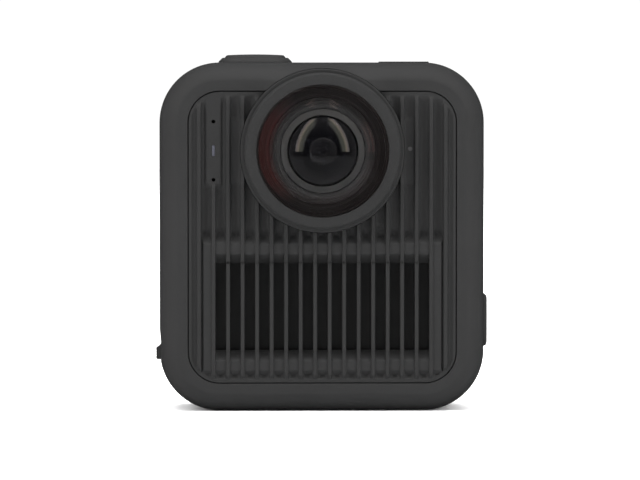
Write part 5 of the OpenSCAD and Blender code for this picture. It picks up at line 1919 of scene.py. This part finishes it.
@dataclass
class Inside:
    """Pieces that keep their CAD shape, with softened edges or a better finish."""

    finishes: Finishes

    def build(self) -> None:
        """Dresses every CAD node that no other piece stands for."""
        f = self.finishes
        softened = {
            "left_finger": ("left_mount_finger", "finger_plastic", f.finger, 0.25),
            "right_finger": ("right_mount_finger", "finger_plastic", f.finger, 0.25),
            "mount_tray": (BODY, "grey_anodised", f.frame, 0.08),
            "tripod_insert": (BODY, "brass", f.brass, 0.12),
            "battery": (BODY, "battery_wrap", f.wrap, 0.35),
            "chassis": (BODY, "grey_anodised", f.frame, 0.06),
            "heat_spreader": (BODY, "black_anodised", f.spreader, 0.05),
        }
        for node, (body, slot, finish, width) in softened.items():
            fit(refined(node, finish, width), body, slot, node)
        dressed = {
            "front_panel_seal": f.rubber, "rear_panel_seal": f.rubber, "display_module": f.display,
            "front_image_sensor": f.board, "rear_image_sensor": f.board,
            "front_inner_lenses": f.inner, "rear_inner_lenses": f.inner,
            "door_hinge_pin": f.steel, "battery_contacts": f.brass, "usb_port": f.steel,
            "card_slot": f.steel, "memory_card": f.black, "shutter_switch": f.black,
            "mode_switch": f.black, "front_microphones": f.black, "speaker": f.black,
            "main_board": f.board, "board_screws": f.steel, "thermal_pad": f.pad,
            "sensor_flexes": f.flex, "antenna": f.flex, "finger_pins": f.steel,
            "tray_screws": f.steel,
        }
        for node, finish in dressed.items():
            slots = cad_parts[node].data.materials
            slots.clear()
            slots.append(finish)
            LOG.info("%s keeps its CAD shape", node)


# ---- Studio ----------------------------------------------------------------------------


@dataclass
class Studio:
    """Pale floor, soft lights and the camera."""

    height: float
    view_width: float = 124.7
    distance: float = 900.0
    outline_depth: float = 8.6
    eye_x: float = -22.0
    eye_height: float = 66.0
    aim_x: float = -0.34
    aim_height: float = 33.2
    room: float = 2200.0
    floor_half: float = 2500.0
    card_turn: float = 0.09
    card_half: float = 0.22
    strip_lean: tuple[float, float, float] = (0.581, 0.81, 0.10)
    strip_half: float = 0.085
    halo_half: float = 0.15
    wing_turn: float = -0.22
    wing_half: float = 0.07
    dim_glow: float = 0.03
    below_glow: float = 0.17
    card_glow: float = 0.11
    strip_glow: float = 2.0
    halo_glow: float = 1.0
    wing_glow: float = 0.5
    world_glow: float = 1.04

    def floor(self) -> None:
        """Builds a wide, faintly uneven floor."""
        s = Surface("pale_floor")
        cloud = s.noise(260.0, 2.0)
        s.set(Base_Color=s.mix(cloud, (0.95, 0.95, 0.955), (0.97, 0.97, 0.97)),
              Roughness=(0.7 + (cloud - 0.5) * 0.1).unit(), Specular_IOR_Level=0.2)
        outline = Outline(2 * self.floor_half, 2 * self.floor_half, 300.0, 16)
        slab = rise(outline, Facing.TOP, (0.0, 0.0), [(0, -20.0), (0, 0.0)])
        floor = make_object("floor", slab, s.material)
        floor.visible_glossy = False

    def light(self, name: str, place: Sequence[float], size: Pair, power: float) -> None:
        """Adds a soft box that points at the camera's middle and that gloss doesn't reflect.

        Args:
            name: Name of the light.
            place: Its place in millimetres.
            size: Its width and height in millimetres.
            power: Its power in watts.
        """
        data = bpy.data.lights.new(name, "AREA")
        data.shape = "RECTANGLE"
        data.size, data.size_y = size[0] * MM, size[1] * MM
        data.energy = power
        lamp = bpy.data.objects.new(name, data)
        lamp.location = Vector(place) * MM
        aim = Vector((0, 0, self.height / 2)) * MM - lamp.location
        lamp.rotation_euler = aim.to_track_quat("-Z", "Y").to_euler()
        lamp.visible_glossy = False
        bpy.context.scene.collection.objects.link(lamp)

    def surroundings(self) -> None:
        """Builds the room as gloss and glass see it: dark, with strip lights and a card."""
        s = Surface("studio_wall")
        x, y, z = s.axes(s.place)
        right, back, up = (c / (self.room * MM) for c in (x, y, z))
        below = ((-0.16 - up) / 0.02).unit() * ((-0.12 - back) / 0.1).unit()
        above = ((up + 0.02) / 0.02).unit()
        card = (1.0 - abs(back - self.card_turn) / self.card_half).unit() * 5.0
        card = card.unit() * ((-right - 0.45) / 0.4).unit()
        lean_x, lean_y, lean_z = self.strip_lean
        across = abs(right) * lean_x + up * lean_z + back * lean_y
        apart = ((abs(right) - 0.13) / 0.14).unit() * above
        strip = ((1.0 - abs(across + 0.01) / self.strip_half) * 2.5).unit() * apart
        halo = ((1.0 - abs(across + 0.13) / self.halo_half) * 1.6).unit() * apart
        wing = (1.0 - abs(back - self.wing_turn) / self.wing_half).unit()
        wing = wing * ((0.62 - up) / 0.15).unit() * above * (0.3 + right.above(0.0) * 0.7)
        glow = (self.dim_glow + below * self.below_glow + card * self.card_glow
                + strip * self.strip_glow + halo * self.halo_glow + wing * self.wing_glow)
        colour = s.node("ShaderNodeCombineXYZ", None, {
            0: glow, 1: glow * (1.0 - strip * 0.14 - wing * 0.4 - card * 0.6),
            2: glow * (1.0 - strip * 0.18 - halo * 0.18 - wing * 0.42 - card * 0.62)})
        s.set(Base_Color=(0.0, 0.0, 0.0), Roughness=1.0, Specular_IOR_Level=0.0,
              Emission_Color=colour, Emission_Strength=1.0)
        room = turned(arc((0.0, 0.0), self.room, 90, -90, 48), 96, closed=False)
        walls = make_object("studio_walls", room, s.material)
        for ray in ("camera", "diffuse", "transmission", "volume_scatter", "shadow"):
            setattr(walls, f"visible_{ray}", False)

    def camera(self) -> None:
        """Adds the camera."""
        data = bpy.data.cameras.new("view")
        data.sensor_width = 36.0
        data.lens = 36.0 * (self.distance - self.outline_depth) / self.view_width
        data.clip_start, data.clip_end = 0.05, 20.0
        eye = bpy.data.objects.new("view", data)
        eye.location = Vector((self.eye_x, -self.distance, self.eye_height)) * MM
        aim = Vector((self.aim_x, -self.outline_depth, self.aim_height)) * MM - eye.location
        eye.rotation_euler = aim.to_track_quat("-Z", "Y").to_euler()
        bpy.context.scene.collection.objects.link(eye)
        bpy.context.scene.camera = eye

    def build(self) -> None:
        """Builds the studio."""
        scene = bpy.context.scene
        scene.view_settings.view_transform = "Standard"
        scene.view_settings.look = "None"
        world = bpy.data.worlds.new("studio")
        world.use_nodes = True
        sky = world.node_tree.nodes["Background"].inputs
        sky["Color"].default_value = (1, 1, 1, 1)
        sky["Strength"].default_value = self.world_glow
        scene.world = world
        self.floor()
        self.surroundings()
        self.light("top_box", (0, -150, 1300), (1300, 900), 28.0)
        self.light("left_box", (-1050, -620, 650), (450, 1250), 17.0)
        self.light("right_box", (1050, -620, 650), (450, 1250), 16.5)
        self.light("back_box", (0, 1300, 900), (1400, 700), 18.0)
        self.camera()


def main() -> None:
    """Builds the camera's pieces in order and the studio round them."""
    logging.basicConfig(level=logging.INFO, format="%(name)s: %(message)s")
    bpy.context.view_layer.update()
    lens_height, shown = Box.of("front_lens_collar").middle[2], Box.of("display_module")
    finishes = Finishes(lens_height, (shown.low[0], shown.low[2]), (shown.high[0], shown.high[2]))
    housing = Housing(finishes)
    housing.build()
    FrontPanel(finishes, Repeater("copies_on_a_line"), housing).build()
    for side in Side:
        LensUnit(finishes, side, housing.half_depth, lens_height).build()
    RearFace(finishes, housing).build()
    SideDoor(finishes, housing).build()
    Buttons(finishes, housing).build()
    Inside(finishes).build()
    Studio(housing.box.high[2]).build()


if __name__ == "__main__":
    main()
